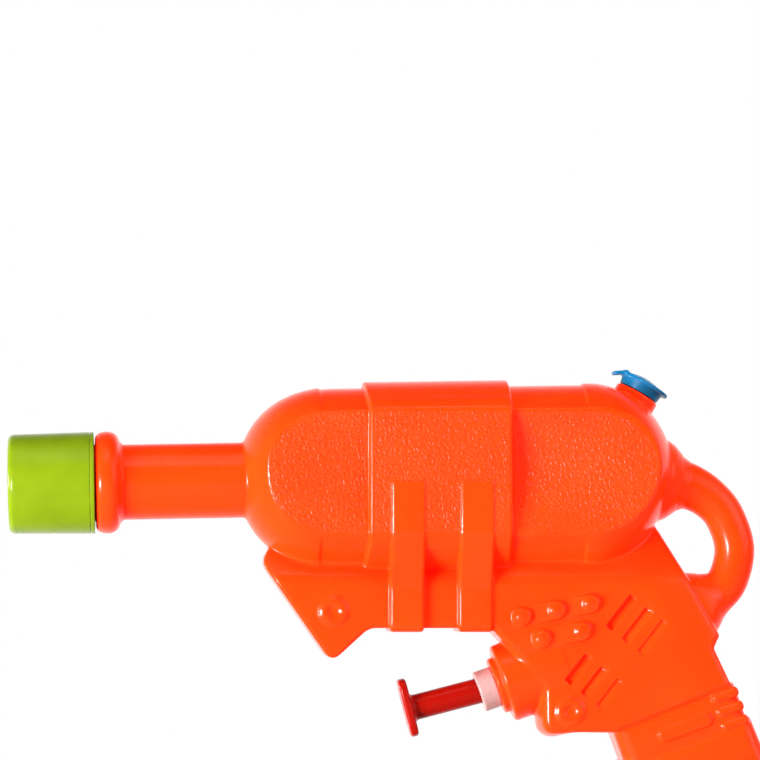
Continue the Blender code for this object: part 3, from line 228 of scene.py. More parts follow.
# Reliefs on the lower body and the snout
STUD_RADIUS = 3.4 * MM
STUD_RAISE = 2.3 * MM
STUD_SLOPE = math.radians(11)
STUD_ROWS = ((100.9 * MM, -50.2 * MM, 12.5 * MM, 3), (108.0 * MM, -58.1 * MM, 14.7 * MM, 2))
BAR_RAISE = 2.0 * MM
BAR_LENGTH = 4.0 * MM
BAR_EDGE = 0.6 * MM
STUD_BLEND = 0.5 * MM
SLOT_WIDTH = 2.8 * MM
SLOT_DEPTHS = ((2.1, 1.7), (1.6, 0.5), (1.0, 0.0))
SLOT_TILT = math.radians(52)
SLOT_PITCH = 7.3 * MM
SLOT_COUNT = 3
SLOT_BLEND = 0.35 * MM
SLOT_GROUPS = ((142.6 * MM, -53.1 * MM, 14.4 * MM), (127.1 * MM, -73.3 * MM, 12.0 * MM))
RIVET_RADIUS = 5.4 * MM
RIVET_RAISE = 1.0 * MM
RIVET_DIMPLE = 2.2 * MM
RIVET_SEAT = 2.0 * MM
RIVET_EDGE = 0.5 * MM
RIVET_CROWN = 1.2 * MM
RIVET_LIP = 0.8 * MM
RIVET_SLOPE_SHARE = 0.4
RIVET_FLOOR_SHARE = 0.6
RIVET_FLOOR_RISE = 0.1 * MM
RIVET_BLEND = 0.8 * MM
RIVET_SPOTS = ((118.5 * MM, -83.8 * MM, BODY_HALF_WIDTH), (34.1 * MM, -48.2 * MM, WEB_HALF_WIDTH))

# Barrel, bead and green cap, along the barrel axis
BARREL_DROOP = math.radians(1.1)
BARREL_AXIS_DROP = 1.2 * MM
BARREL_RADIUS = 13.5 * MM
BARREL_LENGTH = 42.1 * MM
BARREL_ROOT = 24.0 * MM
BARREL_BLEND = 1.0 * MM
BEAD_WIDTH = 8.8 * MM
BEAD_RADIUS = 18.3 * MM
BEAD_STEPS = 16
BEAD_LEAD = 1.2 * MM
BEAD_REAR_POWER = 0.75
BEAD_FRONT_POWER = 0.4
CAP_LENGTH = 30.7 * MM
CAP_REAR_RADIUS = 18.2 * MM
CAP_FRONT_RADIUS = 17.7 * MM
CAP_EDGE = 2.6 * MM
CAP_LIP = 1.2 * MM
CAP_WALL = 1.8 * MM
CAP_SLEEVE_WALL = 1.4 * MM
CAP_GROOVE = 0.25 * MM
CAP_START = BARREL_LENGTH + BEAD_WIDTH + SEAT_GAP
CAP_FRONT = CAP_START + CAP_LENGTH
SEAL_THICK = 1.5 * MM
MOUTH = CAP_FRONT - CAP_WALL - SEAL_THICK - 2 * SEAT_GAP
NOZZLE_RADIUS = 4.6 * MM

# Pump socket, sleeve and red plunger, along the pump axis
PUMP_TILT = math.radians(14.5)
SOCKET_TILT = math.radians(19.5)
PUMP_MOUTH_FROM_NOSE = 86.8 * MM
PUMP_MOUTH_DROP = 76.7 * MM
SOCKET_LIP_RADIUS = 10.3 * MM
SOCKET_LIP_LENGTH = 2.5 * MM
SOCKET_RING_RADIUS = 14.2 * MM
SOCKET_RING_LENGTH = 23.0 * MM
SOCKET_RIM = 1.5 * MM
SOCKET_BORE_DEPTH = 34.0 * MM
SOCKET_BLEND = 1.4 * MM
GLAND_RADIUS = 7.25 * MM
GLAND_WALL = 2.2 * MM
GLAND_LENGTH = 4.4 * MM
GLAND_EDGE = 0.8 * MM
ROD_SEAL_GROOVE = 1.1 * MM
ROD_SEAL_DEPTH = 1.2 * MM
WASHER_THICK = 0.7 * MM
WASHER_RADIUS = 6.8 * MM
SLEEVE_RADIUS = 7.4 * MM
SLEEVE_LENGTH = 6.4 * MM
SLEEVE_GAP = 0.06 * MM
CYLINDER_RADIUS = 6.1 * MM
CYLINDER_WALL = 0.9 * MM
ROD_RADIUS = 4.6 * MM
ROD_REACH = 25.0 * MM
ROD_FILLET = 2.0 * MM
PLATE_HEIGHT = 21.2 * MM
PLATE_RISE = 0.6 * MM
PLATE_WIDTH = 13.5 * MM
PLATE_THICK = 3.2 * MM
PLATE_CORNER = 5.0 * MM
PLATE_EDGE = 0.9 * MM
PLATE_CROWN = 0.5 * MM
PISTON_LENGTH = 6.0 * MM
PISTON_GROOVE = 2.2 * MM
PISTON_GROOVE_DEPTH = 1.2 * MM
CYLINDER_START = GLAND_WALL + SEAT_GAP
PISTON_START = CYLINDER_START + SEAT_GAP
PISTON_END = PISTON_START + PISTON_LENGTH
SOCKET_SETBACK = (GLAND_LENGTH + SLIDE_GAP + WASHER_THICK + SEAT_GAP
                  + GLAND_RADIUS * math.tan(SOCKET_TILT - PUMP_TILT))
SOCKET_BORE = CYLINDER_RADIUS + SEAT_GAP

# Filler neck and blue plug, along the filler axis
FILLER_TILT = math.radians(30)
FILLER_FROM_REAR = 12.0 * MM
FILLER_DROP = 2.6 * MM
FILLER_RADIUS = 8.1 * MM
FILLER_NECK_LENGTH = 11.0 * MM
FILLER_BORE = 6.2 * MM
FILLER_LIP = 0.8 * MM
FILLER_BORE_EXTRA = 3.0 * MM
FILLER_BLEND = 0.8 * MM
DRILL_BLEND = 0.2 * MM
PLUG_DISC_RADIUS = 8.9 * MM
PLUG_DISC_THICK = 1.2 * MM
PLUG_DISC_SHIFT = 1.0 * MM
PLUG_DISC_EDGE = 0.9 * MM
PLUG_SKIRT_RADIUS = 7.5 * MM
PLUG_SKIRT_TOP = 8.2 * MM
PLUG_SKIRT_HEIGHT = 3.1 * MM
PLUG_CROWN = 1.0 * MM
PLUG_CROWN_ROUND = 60.0 * MM
PLUG_STEM_LENGTH = 8.0 * MM
PLUG_WALL = 1.3 * MM
TAB_REACH = 3.4 * MM
TAB_DROOP = math.radians(34)
TAB_WIDTH = 7.0 * MM
TAB_THICK = 1.4 * MM

# Grain, waviness and gloss of the moulded surfaces
NOISE_RANGE = (0.3, 0.7)
GRAIN_CELL = 1.7 * MM
GRAIN_DEPTH = 0.14 * MM
GRAIN_MEAN = 1.1
GRAIN_SPECK = 1.1 * MM
GRAIN_DETAIL = 2.0
WANDER_SIZE = 3.0 * MM
WANDER_REACH = 2.2 * MM
WRINKLE_WIDTH = 0.35
LEATHER_DULL = 0.16
LEATHER_FADE = (0.1 * MM, 0.4 * MM)
LEATHER_RIM = (0.93, 1.03)
WAVE_DEPTH = 0.10 * MM
WAVE_LENGTH = 14.0 * MM
WAVE_DETAIL = 1.0
GLOSS = 0.20
SKIN_WEIGHT = 0.12
SKIN_RADIUS = (3.0 * MM, 0.9 * MM, 0.3 * MM)

# Orange: dark and light colour, their clouds, and the roughness with its spots
ORANGE = ((0.91, 0.0195, 0.0010), (0.95, 0.0230, 0.0014))
ORANGE_CLOUD = 18.0 * MM
ORANGE_SPOT = 2.5 * MM
ORANGE_ROUGH = (0.18, 0.23)

# Plain plastics: dark and light colour, and roughness
PLAIN_CLOUD = 9.0 * MM
PLAIN_SPOT = 2.0 * MM
ROUGH_SPREAD = 0.05
GREEN = ((0.077, 0.114, 0.0020), (0.090, 0.131, 0.0028), 0.20)
RED = ((0.145, 0.0019, 0.0008), (0.165, 0.0026, 0.0011), 0.20)
BLUE = ((0.0012, 0.066, 0.150), (0.0022, 0.078, 0.176), 0.34)
# White moulding: its pink tint is a painted reflection of light from the orange body, not the plastic's own
# colour
WHITE_WITH_PAINTED_ORANGE_BOUNCE = ((0.21, 0.128, 0.120), (0.235, 0.146, 0.138), 0.30)
HOSE = ((0.78, 0.80, 0.80), (0.86, 0.88, 0.88), 0.2)
HOSE_CLEAR = 0.8
RUBBER = ((0.020, 0.020, 0.020), (0.034, 0.034, 0.034), 0.7)
RUBBER_GRAIN = 0.6 * MM
RUBBER_GRAIN_DEPTH = 0.05 * MM

# Steel
STEEL = ((0.42, 0.42, 0.43), (0.62, 0.62, 0.63))
STEEL_CLOUD = 1.5 * MM
STEEL_SPOT = 0.8 * MM
STEEL_ROUGH = (0.22, 0.38)

# Camera, fitted to the photo's frame
CAMERA_AZIMUTH = math.radians(-3.5)
CAMERA_ELEVATION = math.radians(-3.0)
CAMERA_DISTANCE = 1.5
VIEW_AIM = Vector((-130.3, 0, 184.9)) * MM
VIEW_WIDTH = 273.8 * MM
SENSOR = 36.0

# Studio: brightness of the surroundings, and lamps as (name, azimuth, elevation, distance, width,
# height, power, what it lights)
WORLD_DEPTH = (-0.1, 0.9)
WORLD_FRONT = 0.02
WORLD_BACK = 1.2
WORLD_RISE = (0.3, 0.95)
WORLD_LOW = 1.0
WORLD_HIGH = 0.05
LIGHT_AIM = Vector((-110.0, 0, 130.0)) * MM
LIGHTS = (
    ("key_soft", -56, -13, 1.4, 0.70, 0.60, 108, "diffuse"),
    ("key_strip", -45, -4, 1.4, 0.06, 0.34, 36, "gloss"),
    ("rim_strip", -100, 2, 1.4, 0.05, 0.20, 12, "gloss"),
    ("right_box", 62, 26, 1.5, 1.50, 1.20, 5, "both"),
    ("right_fill", 66, 15, 1.6, 0.90, 0.90, 26, "diffuse"),
    ("top_fill", -15, 65, 1.5, 0.90, 0.90, 38, "diffuse"),
)
FLOOR_GAP = 0.3 * MM
FLOOR_HALF = 1.1
FLOOR_GREY = ((0.56, 0.56, 0.56), (0.62, 0.62, 0.62))
FLOOR_CLOUD = 60.0 * MM
FLOOR_ROUGH = 0.6


def soft_min(a, b, reach):
    """Union of two fields with a fillet that starts where they differ by less than reach."""
    overlap = np.maximum(reach - np.abs(a - b), 0) / reach
    return np.minimum(a, b) - overlap * overlap * reach / 4


def soft_max(a, b, reach):
    return -soft_min(-a, -b, reach)


def ramp(values, start, stop):
    """Smooth step from 0 at start to 1 at stop."""
    share = np.clip((values - start) / (stop - start), 0, 1)
    return share * share * (3 - 2 * share)


def outline_distance(points, u, v):
    """Signed distance to a closed outline, negative inside."""
    nearest = None
    inside = None
    for (u0, v0), (u1, v1) in zip(points, points[1:] + points[:1]):
        du = u1 - u0
        dv = v1 - v0
        length = du * du + dv * dv
        if length == 0:
            continue
        along = np.clip(((u - u0) * du + (v - v0) * dv) / length, 0, 1)
        gap = (u - u0 - along * du) ** 2 + (v - v0 - along * dv) ** 2
        crossing = (v0 > v) != (v1 > v)
        if dv != 0:
            crossing = crossing & (u < u0 + (v - v0) * du / dv)
        nearest = gap if nearest is None else np.minimum(nearest, gap)
        inside = crossing if inside is None else inside ^ crossing
    return np.where(inside, -1, 1) * np.sqrt(nearest)


def rim(flat, side, edge):
    """Rounded edge between an outline's wall and a flat face."""
    a = flat + edge
    b = side + edge
    return np.minimum(np.maximum(a, b), 0) + np.hypot(np.maximum(a, 0), np.maximum(b, 0)) - edge


def rounded(corners):
    """Outline with its corners, given as (u, v, radius), turned into arcs."""
    points = []
    count = len(corners)
    for k, (u, v, radius) in enumerate(corners):
        here = Vector((u, v))
        back = Vector(corners[k - 1][:2]) - here
        ahead = Vector(corners[(k + 1) % count][:2]) - here
        half = back.angle(ahead) / 2
        reach = min(radius / math.tan(half), back.length * CORNER_SHARE, ahead.length * CORNER_SHARE)
        start = here + back.normalized() * reach
        stop = here + ahead.normalized() * reach
        for j in range(CORNER_STEPS + 1):
            t = j / CORNER_STEPS
            spot = start * (1 - t) ** 2 + here * 2 * t * (1 - t) + stop * t * t
            points.append((spot.x, spot.y))
    return points


def box_outline(left, right, low, high, radius):
    return rounded([(left, low, radius), (right, low, radius), (right, high, radius), (left, high, radius)])


def smooth_path(points, steps):
    """Points of a smooth curve through the given ones."""
    path = []
    ends = [points[0] * 2 - points[1]] + list(points) + [points[-1] * 2 - points[-2]]
    for k in range(1, len(ends) - 2):
        a, b, c, d = ends[k - 1:k + 3]
        for j in range(steps):
            t = j / steps
            path.append((b * 2 + (c - a) * t + (a * 2 - b * 5 + c * 4 - d) * t ** 2
                         + (b * 3 - a - c * 3 + d) * t ** 3) / 2)
    path.append(points[-1])
    return path


def tank_point(from_nose, above_axis):
    return TANK_NOSE_X + from_nose, TANK_AXIS_Z + above_axis


def grip_point(back, up):
    return (back * math.cos(GRIP_RAKE) - up * math.sin(GRIP_RAKE),
            back * math.sin(GRIP_RAKE) + up * math.cos(GRIP_RAKE))


class Axis:
    """A line that round forms turn about."""

    def __init__(self, x, z, dx, dz):
        self.origin = Vector((x, 0, z))
        self.forward = Vector((dx, 0, dz)).normalized()
        self.upward = Vector((-self.forward.z, 0, self.forward.x))
        if self.upward.z < 0:
            self.upward.negate()

    def along(self, x, z):
        return (x - self.origin.x) * self.forward.x + (z - self.origin.z) * self.forward.z

    def across(self, x, z):
        return (x - self.origin.x) * self.upward.x + (z - self.origin.z) * self.upward.z

    def point(self, along, across=0.0, y=0.0):
        spot = self.origin + self.forward * along + self.upward * across
        return Vector((spot.x, y, spot.z))

    def spots(self, profile):
        """Places (x, z) on both sides of the line, from (radius, along)."""
        return [self.point(along, side * radius).xz for radius, along in profile for side in (-1, 1)]


BARREL_AXIS = Axis(TANK_NOSE_X, TANK_AXIS_Z - BARREL_AXIS_DROP,
                   -math.cos(BARREL_DROOP), -math.sin(BARREL_DROOP))
PUMP_AXIS = Axis(*tank_point(PUMP_MOUTH_FROM_NOSE, -PUMP_MOUTH_DROP),
                 math.cos(PUMP_TILT), math.sin(PUMP_TILT))
SOCKET_AXIS = Axis(*PUMP_AXIS.point(SOCKET_SETBACK).xz, math.cos(SOCKET_TILT), math.sin(SOCKET_TILT))
FILLER_AXIS = Axis(TANK_REAR_X - FILLER_FROM_REAR, TANK_AXIS_Z + TANK_HALF_HEIGHT - FILLER_DROP,
                   math.sin(FILLER_TILT), math.cos(FILLER_TILT))


class Field:
    """Distances to a form on an even lattice over one half of it; the other half is its mirror image."""

    def __init__(self, low, high, step):
        counts = [int(math.ceil((high[k] - low[k]) / step)) + 1 for k in range(3)]
        self.step = step
        self.low = np.array(low)
        self.ticks = [low[k] + step * np.arange(counts[k]) for k in range(3)]
        self.values = np.full(counts, FAR, np.float32)

    def window(self, spots):
        """Slices and coordinates of the lattice round some (x, z) spots, or of all of it."""
        cuts = [slice(None)] * 3
        if spots is not None:
            for k, places in zip((0, 2), zip(*spots)):
                first = int((min(places) - MARGIN - self.low[k]) / self.step)
                last = int((max(places) + MARGIN - self.low[k]) / self.step) + 2
                cuts[k] = slice(max(first, 0), max(last, 0))
        x, y, z = (self.ticks[k][cuts[k]].astype(np.float32) for k in range(3))
        return tuple(cuts), x[:, None, None], y[None, :, None], z[None, None, :]

    def add(self, form, spots=None, blend=BLEND):
        cuts, x, y, z = self.window(spots)
        reach = blend(x, y, z) if callable(blend) else blend
        self.values[cuts] = soft_min(self.values[cuts], form(x, y, z), reach)

    def cut(self, form, spots=None, blend=BLEND):
        cuts, x, y, z = self.window(spots)
        self.values[cuts] = soft_max(self.values[cuts], -form(x, y, z), blend)

    def hollow(self, wall):
        self.values = np.maximum(self.values, -(self.values + wall))

    def sample(self, points):
        """Field at points, read between lattice values."""
        folded = np.where([False, True, False], np.abs(points), points)
        last = np.array(self.values.shape) - 1
        place = np.clip((folded - self.low) / self.step, 0, last)
        cell = np.minimum(place.astype(int), last - 1)
        share = place - cell
        total = np.zeros(len(points))
        for corner in np.ndindex(2, 2, 2):
            weight = np.prod(np.where(corner, share, 1 - share), axis=1)
            i, j, k = (cell + corner).T
            total += weight * self.values[i, j, k]
        return total

    def slope(self, points):
        """Direction in which the field grows fastest, at points."""
        reach = self.step * SLOPE_REACH
        found = []
        for k in range(3):
            shift = np.zeros(3)
            shift[k] = reach
            found.append(self.sample(points + shift) - self.sample(points - shift))
        found = np.stack(found, axis=1)
        return found / np.maximum(np.linalg.norm(found, axis=1, keepdims=True), TINY)


def surface(field):
    """Vertices and quads of the field's zero surface, by averaging the crossings in each cell."""
    values = np.concatenate([field.values[:, :0:-1, :], field.values], axis=1)
    low = field.low - [0, field.step * (field.values.shape[1] - 1), 0]
    inside = values < 0
    counts = np.array(values.shape) - 1
    corners = [np.array(c) for c in np.ndindex(2, 2, 2)]
    pairs = [(a, b) for a in range(8) for b in range(a + 1, 8) if np.abs(corners[a] - corners[b]).sum() == 1]
    total = sum(inside[c[0]:c[0] + counts[0], c[1]:c[1] + counts[1], c[2]:c[2] + counts[2]].astype(np.int8)
                for c in corners)
    cells = np.argwhere((total > 0) & (total < 8))
    number = np.full(counts, -1, np.int64)
    number[tuple(cells.T)] = np.arange(len(cells))
    held = [values[tuple((cells + c).T)] for c in corners]
    spots = np.zeros((len(cells), 3))
    hits = np.zeros(len(cells))
    for a, b in pairs:
        crossed = (held[a] < 0) != (held[b] < 0)
        share = np.where(crossed, held[a] / np.where(crossed, held[a] - held[b], 1), 0)
        spots += crossed[:, None] * (corners[a] + share[:, None] * (corners[b] - corners[a]))
        hits += crossed
    vertices = low + (cells + spots / hits[:, None]) * field.step
    quads = []
    for axis in range(3):
        side_a, side_b = (axis + 1) % 3, (axis + 2) % 3
        first = [slice(None)] * 3
        second = [slice(None)] * 3
        first[axis], second[axis] = slice(0, -1), slice(1, None)
        edges = np.argwhere(inside[tuple(first)] != inside[tuple(second)])
        edges = edges[(edges[:, side_a] > 0) & (edges[:, side_b] > 0)
                      & (edges[:, side_a] < counts[side_a]) & (edges[:, side_b] < counts[side_b])]
        outward = inside[tuple(edges.T)]
        step_a, step_b = np.eye(3, dtype=int)[side_a], np.eye(3, dtype=int)[side_b]
        ring = [number[tuple((edges - s).T)] for s in (step_a + step_b, step_b, 0 * step_a, step_a)]
        ring = np.stack(ring, axis=1)
        ring[~outward] = ring[~outward][:, ::-1]
        quads.append(ring)
    return vertices, np.concatenate(quads)


def settle(field, vertices):
    """Draw vertices on to the field's zero surface."""
    for _ in range(PROJECT_ROUNDS):
        gap = np.clip(field.sample(vertices), -field.step / 2, field.step / 2)
        vertices = vertices - gap[:, None] * field.slope(vertices)
    return vertices


def make_object(name, vertices, faces):
    mesh = bpy.data.meshes.new(name)
    mesh.from_pydata(vertices.tolist(), [], faces.tolist())
    mesh.update()
    made = bpy.data.objects.new(name, mesh)
    bpy.context.collection.objects.link(made)
    return made


def carve(name, field, most_triangles):
    """Mesh of a field, thinned where it is flat, with normals from the field itself."""
    vertices, quads = surface(field)
    made = make_object(name, settle(field, vertices), quads)
    share = most_triangles / (2 * len(quads))
    if share < 1:
        thin = made.modifiers.new("thin", "DECIMATE")
        thin.ratio = share
        bpy.context.view_layer.objects.active = made
        bpy.ops.object.modifier_apply(modifier=thin.name)
    mesh = made.data
    mesh.shade_smooth()
    spots = np.empty(len(mesh.vertices) * 3)
    mesh.vertices.foreach_get("co", spots)
    mesh.normals_split_custom_set_from_vertices(field.slope(spots.reshape(-1, 3)).tolist())
    return made


def lathe(name, axis, profile):
    """Closed profile of (radius, along) turned about an axis."""
    sides = LATHE_SIDES
    turn = np.arange(sides) * 2 * math.pi / sides
    vertices = []
    for radius, along in profile:
        for angle in turn:
            vertices.append(axis.point(along, radius * math.cos(angle), radius * math.sin(angle)))
    count = len(profile)
    faces = []
    for k in range(count):
        ahead = (k + 1) % count
        for j in range(sides):
            side = (j + 1) % sides
            faces.append((k * sides + j, k * sides + side, ahead * sides + side, ahead * sides + j))
    made = make_object(name, np.array(vertices), np.array(faces))
    bm = bmesh.new()
    bm.from_mesh(made.data)
    bmesh.ops.recalc_face_normals(bm, faces=bm.faces)
    bm.to_mesh(made.data)
    bm.free()
    made.data.shade_smooth()
    made.data.set_sharp_from_angle(angle=LATHE_SHARP)
    return made


def turned_form(axis, profile):
    """A solid of revolution, from a closed outline of (radius, along), and the spots that it spans."""
    def form(x, y, z):
        radius = np.hypot(axis.across(x, z), y)
        return outline_distance(profile, radius, axis.along(x, z) + 0 * y)
    return form, axis.spots(profile)


def drill_form(axis, radius, start, stop):
    """A round hole, and the spots that it spans."""
    def form(x, y, z):
        along = axis.along(x, z)
        return np.maximum(np.hypot(axis.across(x, z), y) - radius, np.maximum(start - along, along - stop))
    return form, axis.spots([(radius, start), (radius, stop)])


def grip_form(outline, half_width, edge):
    """A plate with rounded rims, from an outline in the grip's leaning frame, and the spots that it spans."""
    def form(x, y, z):
        back = x * math.cos(GRIP_RAKE) + z * math.sin(GRIP_RAKE)
        up = z * math.cos(GRIP_RAKE) - x * math.sin(GRIP_RAKE)
        return rim(outline_distance(outline, back, up), np.abs(y) - half_width, edge)
    return form, [grip_point(*spot) for spot in outline]


def square(x, z, reach):
    """Two opposite corners of a square round a spot."""
    return [(x - reach, z - reach), (x + reach, z + reach)]


def tank_outline():
    """A stadium whose tail leans back and rises a little above the nose."""
    points = []
    for hub, depth, lean, rise, power in ((TAIL_HUB, TAIL_DEPTH, TAIL_LEAN, TAIL_RISE, TAIL_POWER),
                                          (NOSE_HUB, -NOSE_DEPTH, 0, -NOSE_SAG, NOSE_POWER)):
        way = math.copysign(1, depth)
        for j in range(ARC_STEPS + 1):
            angle = math.pi * (j / ARC_STEPS - 0.5) * way
            across = abs(math.cos(angle)) ** (2 / power)
            upward = math.copysign(abs(math.sin(angle)) ** (2 / power), angle)
            height = TANK_HALF_HEIGHT + (rise if upward > 0 else 0)
            points.append((hub + (depth + lean * upward) * across, TANK_AXIS_Z + height * upward))
    return points


def border_width(x, z):
    """Width of the arched border, which is narrow at the tail and broad below."""
    half = TANK_HALF_HEIGHT / 2
    width = BORDER_LOW + (BORDER_HIGH - BORDER_LOW) * ramp(z, TANK_AXIS_Z - half, TANK_AXIS_Z + half)
    tail = ramp(x, TAIL_HUB, TAIL_HUB + TAIL_DEPTH - BORDER_TAIL)
    nose = ramp(-x, -NOSE_HUB, -TANK_NOSE_X - BORDER_NOSE)
    middle = (BORDER_HIGH + BORDER_LOW) / 2
    return width * (1 - tail * (1 - BORDER_TAIL / middle) - nose * (1 - BORDER_NOSE / middle))


def tank_form(x, y, z, dished=True):
    """Arched border round a dished side; the middle of the border lies a step below its two domes."""
    border = border_width(x, z)
    arch = (border ** 2 + TANK_HALF_WIDTH ** 2) / (2 * border)
    side = np.abs(y)
    front = TANK_NOSE_X + DOME_STEP_FRONT
    rear = TANK_NOSE_X + DOME_STEP_REAR
    middle = ramp(x, front, front + DOME_STEP_SLOPE) - ramp(x, rear - DOME_STEP_SLOPE, rear)
    flat = outline_distance(tank_outline(), x, z)
    border = np.hypot(np.maximum(flat + arch, 0), side) - arch
    fade = ramp(side, TANK_HALF_WIDTH * DOME_STEP_SHARE, TANK_HALF_WIDTH)
    border = border + DOME_STEP * middle * (1 - fade)
    face = side - TANK_HALF_WIDTH
    band = TANK_NOSE_X + BAND_FROM_NOSE
    bulge = 1 - np.clip((z - PANEL_Z) / PANEL_HALF_HEIGHT, -1, 1) ** 2
    if dished:
        for depth, run, beyond in ((DISH_FRONT, DISH_FRONT_RUN, band - x),
                                   (DISH_REAR, DISH_REAR_RUN, x - band - BAND_LENGTH)):
            face = face + depth * bulge * ramp(beyond, -DISH_WALL, 0) * (1 - ramp(beyond, 0, run))
    return soft_max(border, face, CREASE)


def band_form(x, y, z):
    """The tank's surface without its dishes, lifted between two walls, of which the front one leans."""
    lean = BAND_LEAN * (1 - np.clip(np.abs(y) / TANK_HALF_WIDTH, 0, 1) ** 2)
    start = TANK_NOSE_X + BAND_FROM_NOSE - lean
    stop = TANK_NOSE_X + BAND_FROM_NOSE + BAND_LENGTH
    ends = np.maximum(start - x, x - stop)
    return rim(ends + 0 * z, tank_form(x, y, z, dished=False) - BAND_RAISE, BAND_EDGE)


def strap_form(middle):
    """A strap over the tank's flanks that leans in to its foot, and the spots that it spans."""
    top, crease, slope_end, bottom = (TANK_AXIS_Z - drop for drop in (
        STRAP_TOP_DROP, STRAP_CREASE_DROP, STRAP_SLOPE_DROP, STRAP_BOTTOM_DROP))
    half = [(STRAP_FOOT, bottom, STRAP_FOOT_CORNER), (STRAP_FOOT, slope_end, STRAP_BEND),
            (STRAP_CHEST, crease, STRAP_BEND), (STRAP_CHEST, top, STRAP_EDGE)]
    outline = rounded(half + [(-y, z, radius) for y, z, radius in reversed(half)])

    def form(x, y, z):
        return rim(outline_distance(outline, y, z), np.abs(x - middle) - STRAP_WIDTH / 2, STRAP_EDGE)
    return form, [(middle - STRAP_WIDTH / 2, bottom), (middle + STRAP_WIDTH / 2, top)]


def web_outline():
    rear = BODY_FRONT[0][0] * MM + WEB_OVERLAP
    corners = (
        (SNOUT_SETBACK + SNOUT_SHOULDER_RUN, STRAP_CREASE_DROP, WALL),
        (SNOUT_SETBACK, SNOUT_SHOULDER_DROP, SNOUT_SHOULDER_CORNER),
        (SNOUT_TIP_SETBACK, SNOUT_TIP_DROP, SNOUT_CORNER),
        (SNOUT_HEEL_SETBACK, WEB_DROP, SNOUT_HEEL_BEND),
        (rear, WEB_DROP, WALL), (rear, STRAP_CREASE_DROP, WALL),
    )
    return rounded([(*tank_point(setback, -drop), radius) for setback, drop, radius in corners])


def valley(side, z):
    """Side face that leans inwards above a line, where it nears the tank."""
    return soft_max(side + 0 * z, side + (z - TANK_AXIS_Z + VALLEY_DROP) * VALLEY_SLOPE, WEB_EDGE)


def web_form(x, y, z):
    return rim(outline_distance(web_outline(), x, z), valley(np.abs(y) - WEB_HALF_WIDTH, z), WEB_EDGE)


def body_outline():
    spur_x, spur_z = tank_point(*BODY_SPUR)
    corners = [(*tank_point(x * MM, z * MM), radius * MM) for x, z, radius in BODY_FRONT]
    corners += [
        (*grip_point(-GRIP_FRONT + COLLAR_STEP + WALL, GRIP_LENGTH - WALL), SNOUT_CORNER),
        (*grip_point(GRIP_BACK_TOP - COLLAR_STEP, GRIP_LENGTH), BODY_NOTCH_CORNER),
        (spur_x - BODY_NOTCH / 2, spur_z - BODY_NOTCH, BODY_NOTCH_CORNER),
        (spur_x, spur_z, BODY_NOTCH_CORNER),
        (*tank_point(*BODY_BACK), WALL),
    ]
    return rounded(corners)


def body_form(x, y, z):
    """The lower body: its sides fall away towards the rear edge, and its chin is crowned."""
    spur = Vector(tank_point(*BODY_SPUR))
    run = (spur - Vector(tank_point(*BODY_BACK))).normalized()
    behind = (z - spur.y) * run.x - (x - spur.x) * run.y
    side = valley(np.abs(y) - BODY_HALF_WIDTH, z)
    chin_x, chin_z = tank_point(CHIN_FROM_NOSE, -CHIN_DROP)
    chin = (1 - ramp(z, chin_z - CHIN_FADE, chin_z)) * (1 - ramp(x, chin_x, chin_x + CHIN_FADE))
    crown = CHIN_CROWN * chin * (1 - np.minimum(y / BODY_HALF_WIDTH, 1) ** 2)
    plate = rim(outline_distance(body_outline(), x, z) - crown, side, BODY_EDGE)
    return soft_max(plate, side + (behind + BODY_FALL_RUN) * BODY_FALL_SLOPE, BODY_EDGE)


def loop_form(x, y, z):
    route = smooth_path(LOOP_ROUTE, LOOP_STEPS)
    nearest = None
    for a, b in zip(route, route[1:]):
        u = x - TANK_REAR_X - a.x
        v = z - TANK_AXIS_Z - a.y
        du, dv = b.x - a.x, b.y - a.y
        along = np.clip((u * du + v * dv) / (du * du + dv * dv), 0, 1)
        gap = np.sqrt((u - along * du) ** 2 + (v - along * dv) ** 2 + y * y) - (a.z + along * (b.z - a.z))
        nearest = gap if nearest is None else np.minimum(nearest, gap)
    return nearest


def root_form(axis, steps, half_width):
    """Stepped cone with flattened sides at a root of the loop, and the spots that it spans."""
    outline = [(radius * MM, along * MM) for along, radius in steps]
    first = outline[0][0]
    radius, along = outline[-1]
    cone, spots = turned_form(axis, [(-first, -SEAT_DEPTH), (first, -SEAT_DEPTH), *outline, (-radius, along)])

    def form(x, y, z):
        return rim(cone(x, y, z), np.abs(y) - half_width, ROOT_EDGE)
    return form, spots


def barrel_profile():
    """Barrel, bead and neck."""
    middle = BARREL_LENGTH + BEAD_WIDTH / 2
    profile = [(-BARREL_RADIUS, -BARREL_ROOT), (BARREL_RADIUS, -BARREL_ROOT),
               (BARREL_RADIUS, BARREL_LENGTH - BEAD_LEAD)]
    for k in range(1, BEAD_STEPS):
        angle = math.pi * (k / BEAD_STEPS - 0.5)
        bulge = math.cos(angle) ** (BEAD_REAR_POWER if angle < 0 else BEAD_FRONT_POWER)
        profile.append((BARREL_RADIUS + (BEAD_RADIUS - BARREL_RADIUS) * bulge,
                        middle + BEAD_WIDTH / 2 * math.sin(angle)))
    profile += [(BARREL_RADIUS, BARREL_LENGTH + BEAD_WIDTH), (BARREL_RADIUS, MOUTH), (-BARREL_RADIUS, MOUTH)]
    return profile


def socket_profile():
    stop = SOCKET_LIP_LENGTH + SOCKET_RING_LENGTH
    return rounded([
        (-SOCKET_LIP_RADIUS, 0, FINE), (SOCKET_LIP_RADIUS, 0, SOCKET_RIM),
        (SOCKET_LIP_RADIUS, SOCKET_LIP_LENGTH, FINE), (SOCKET_RING_RADIUS, SOCKET_LIP_LENGTH, SOCKET_RIM),
        (SOCKET_RING_RADIUS, stop, FINE), (-SOCKET_RING_RADIUS, stop, FINE),
    ])


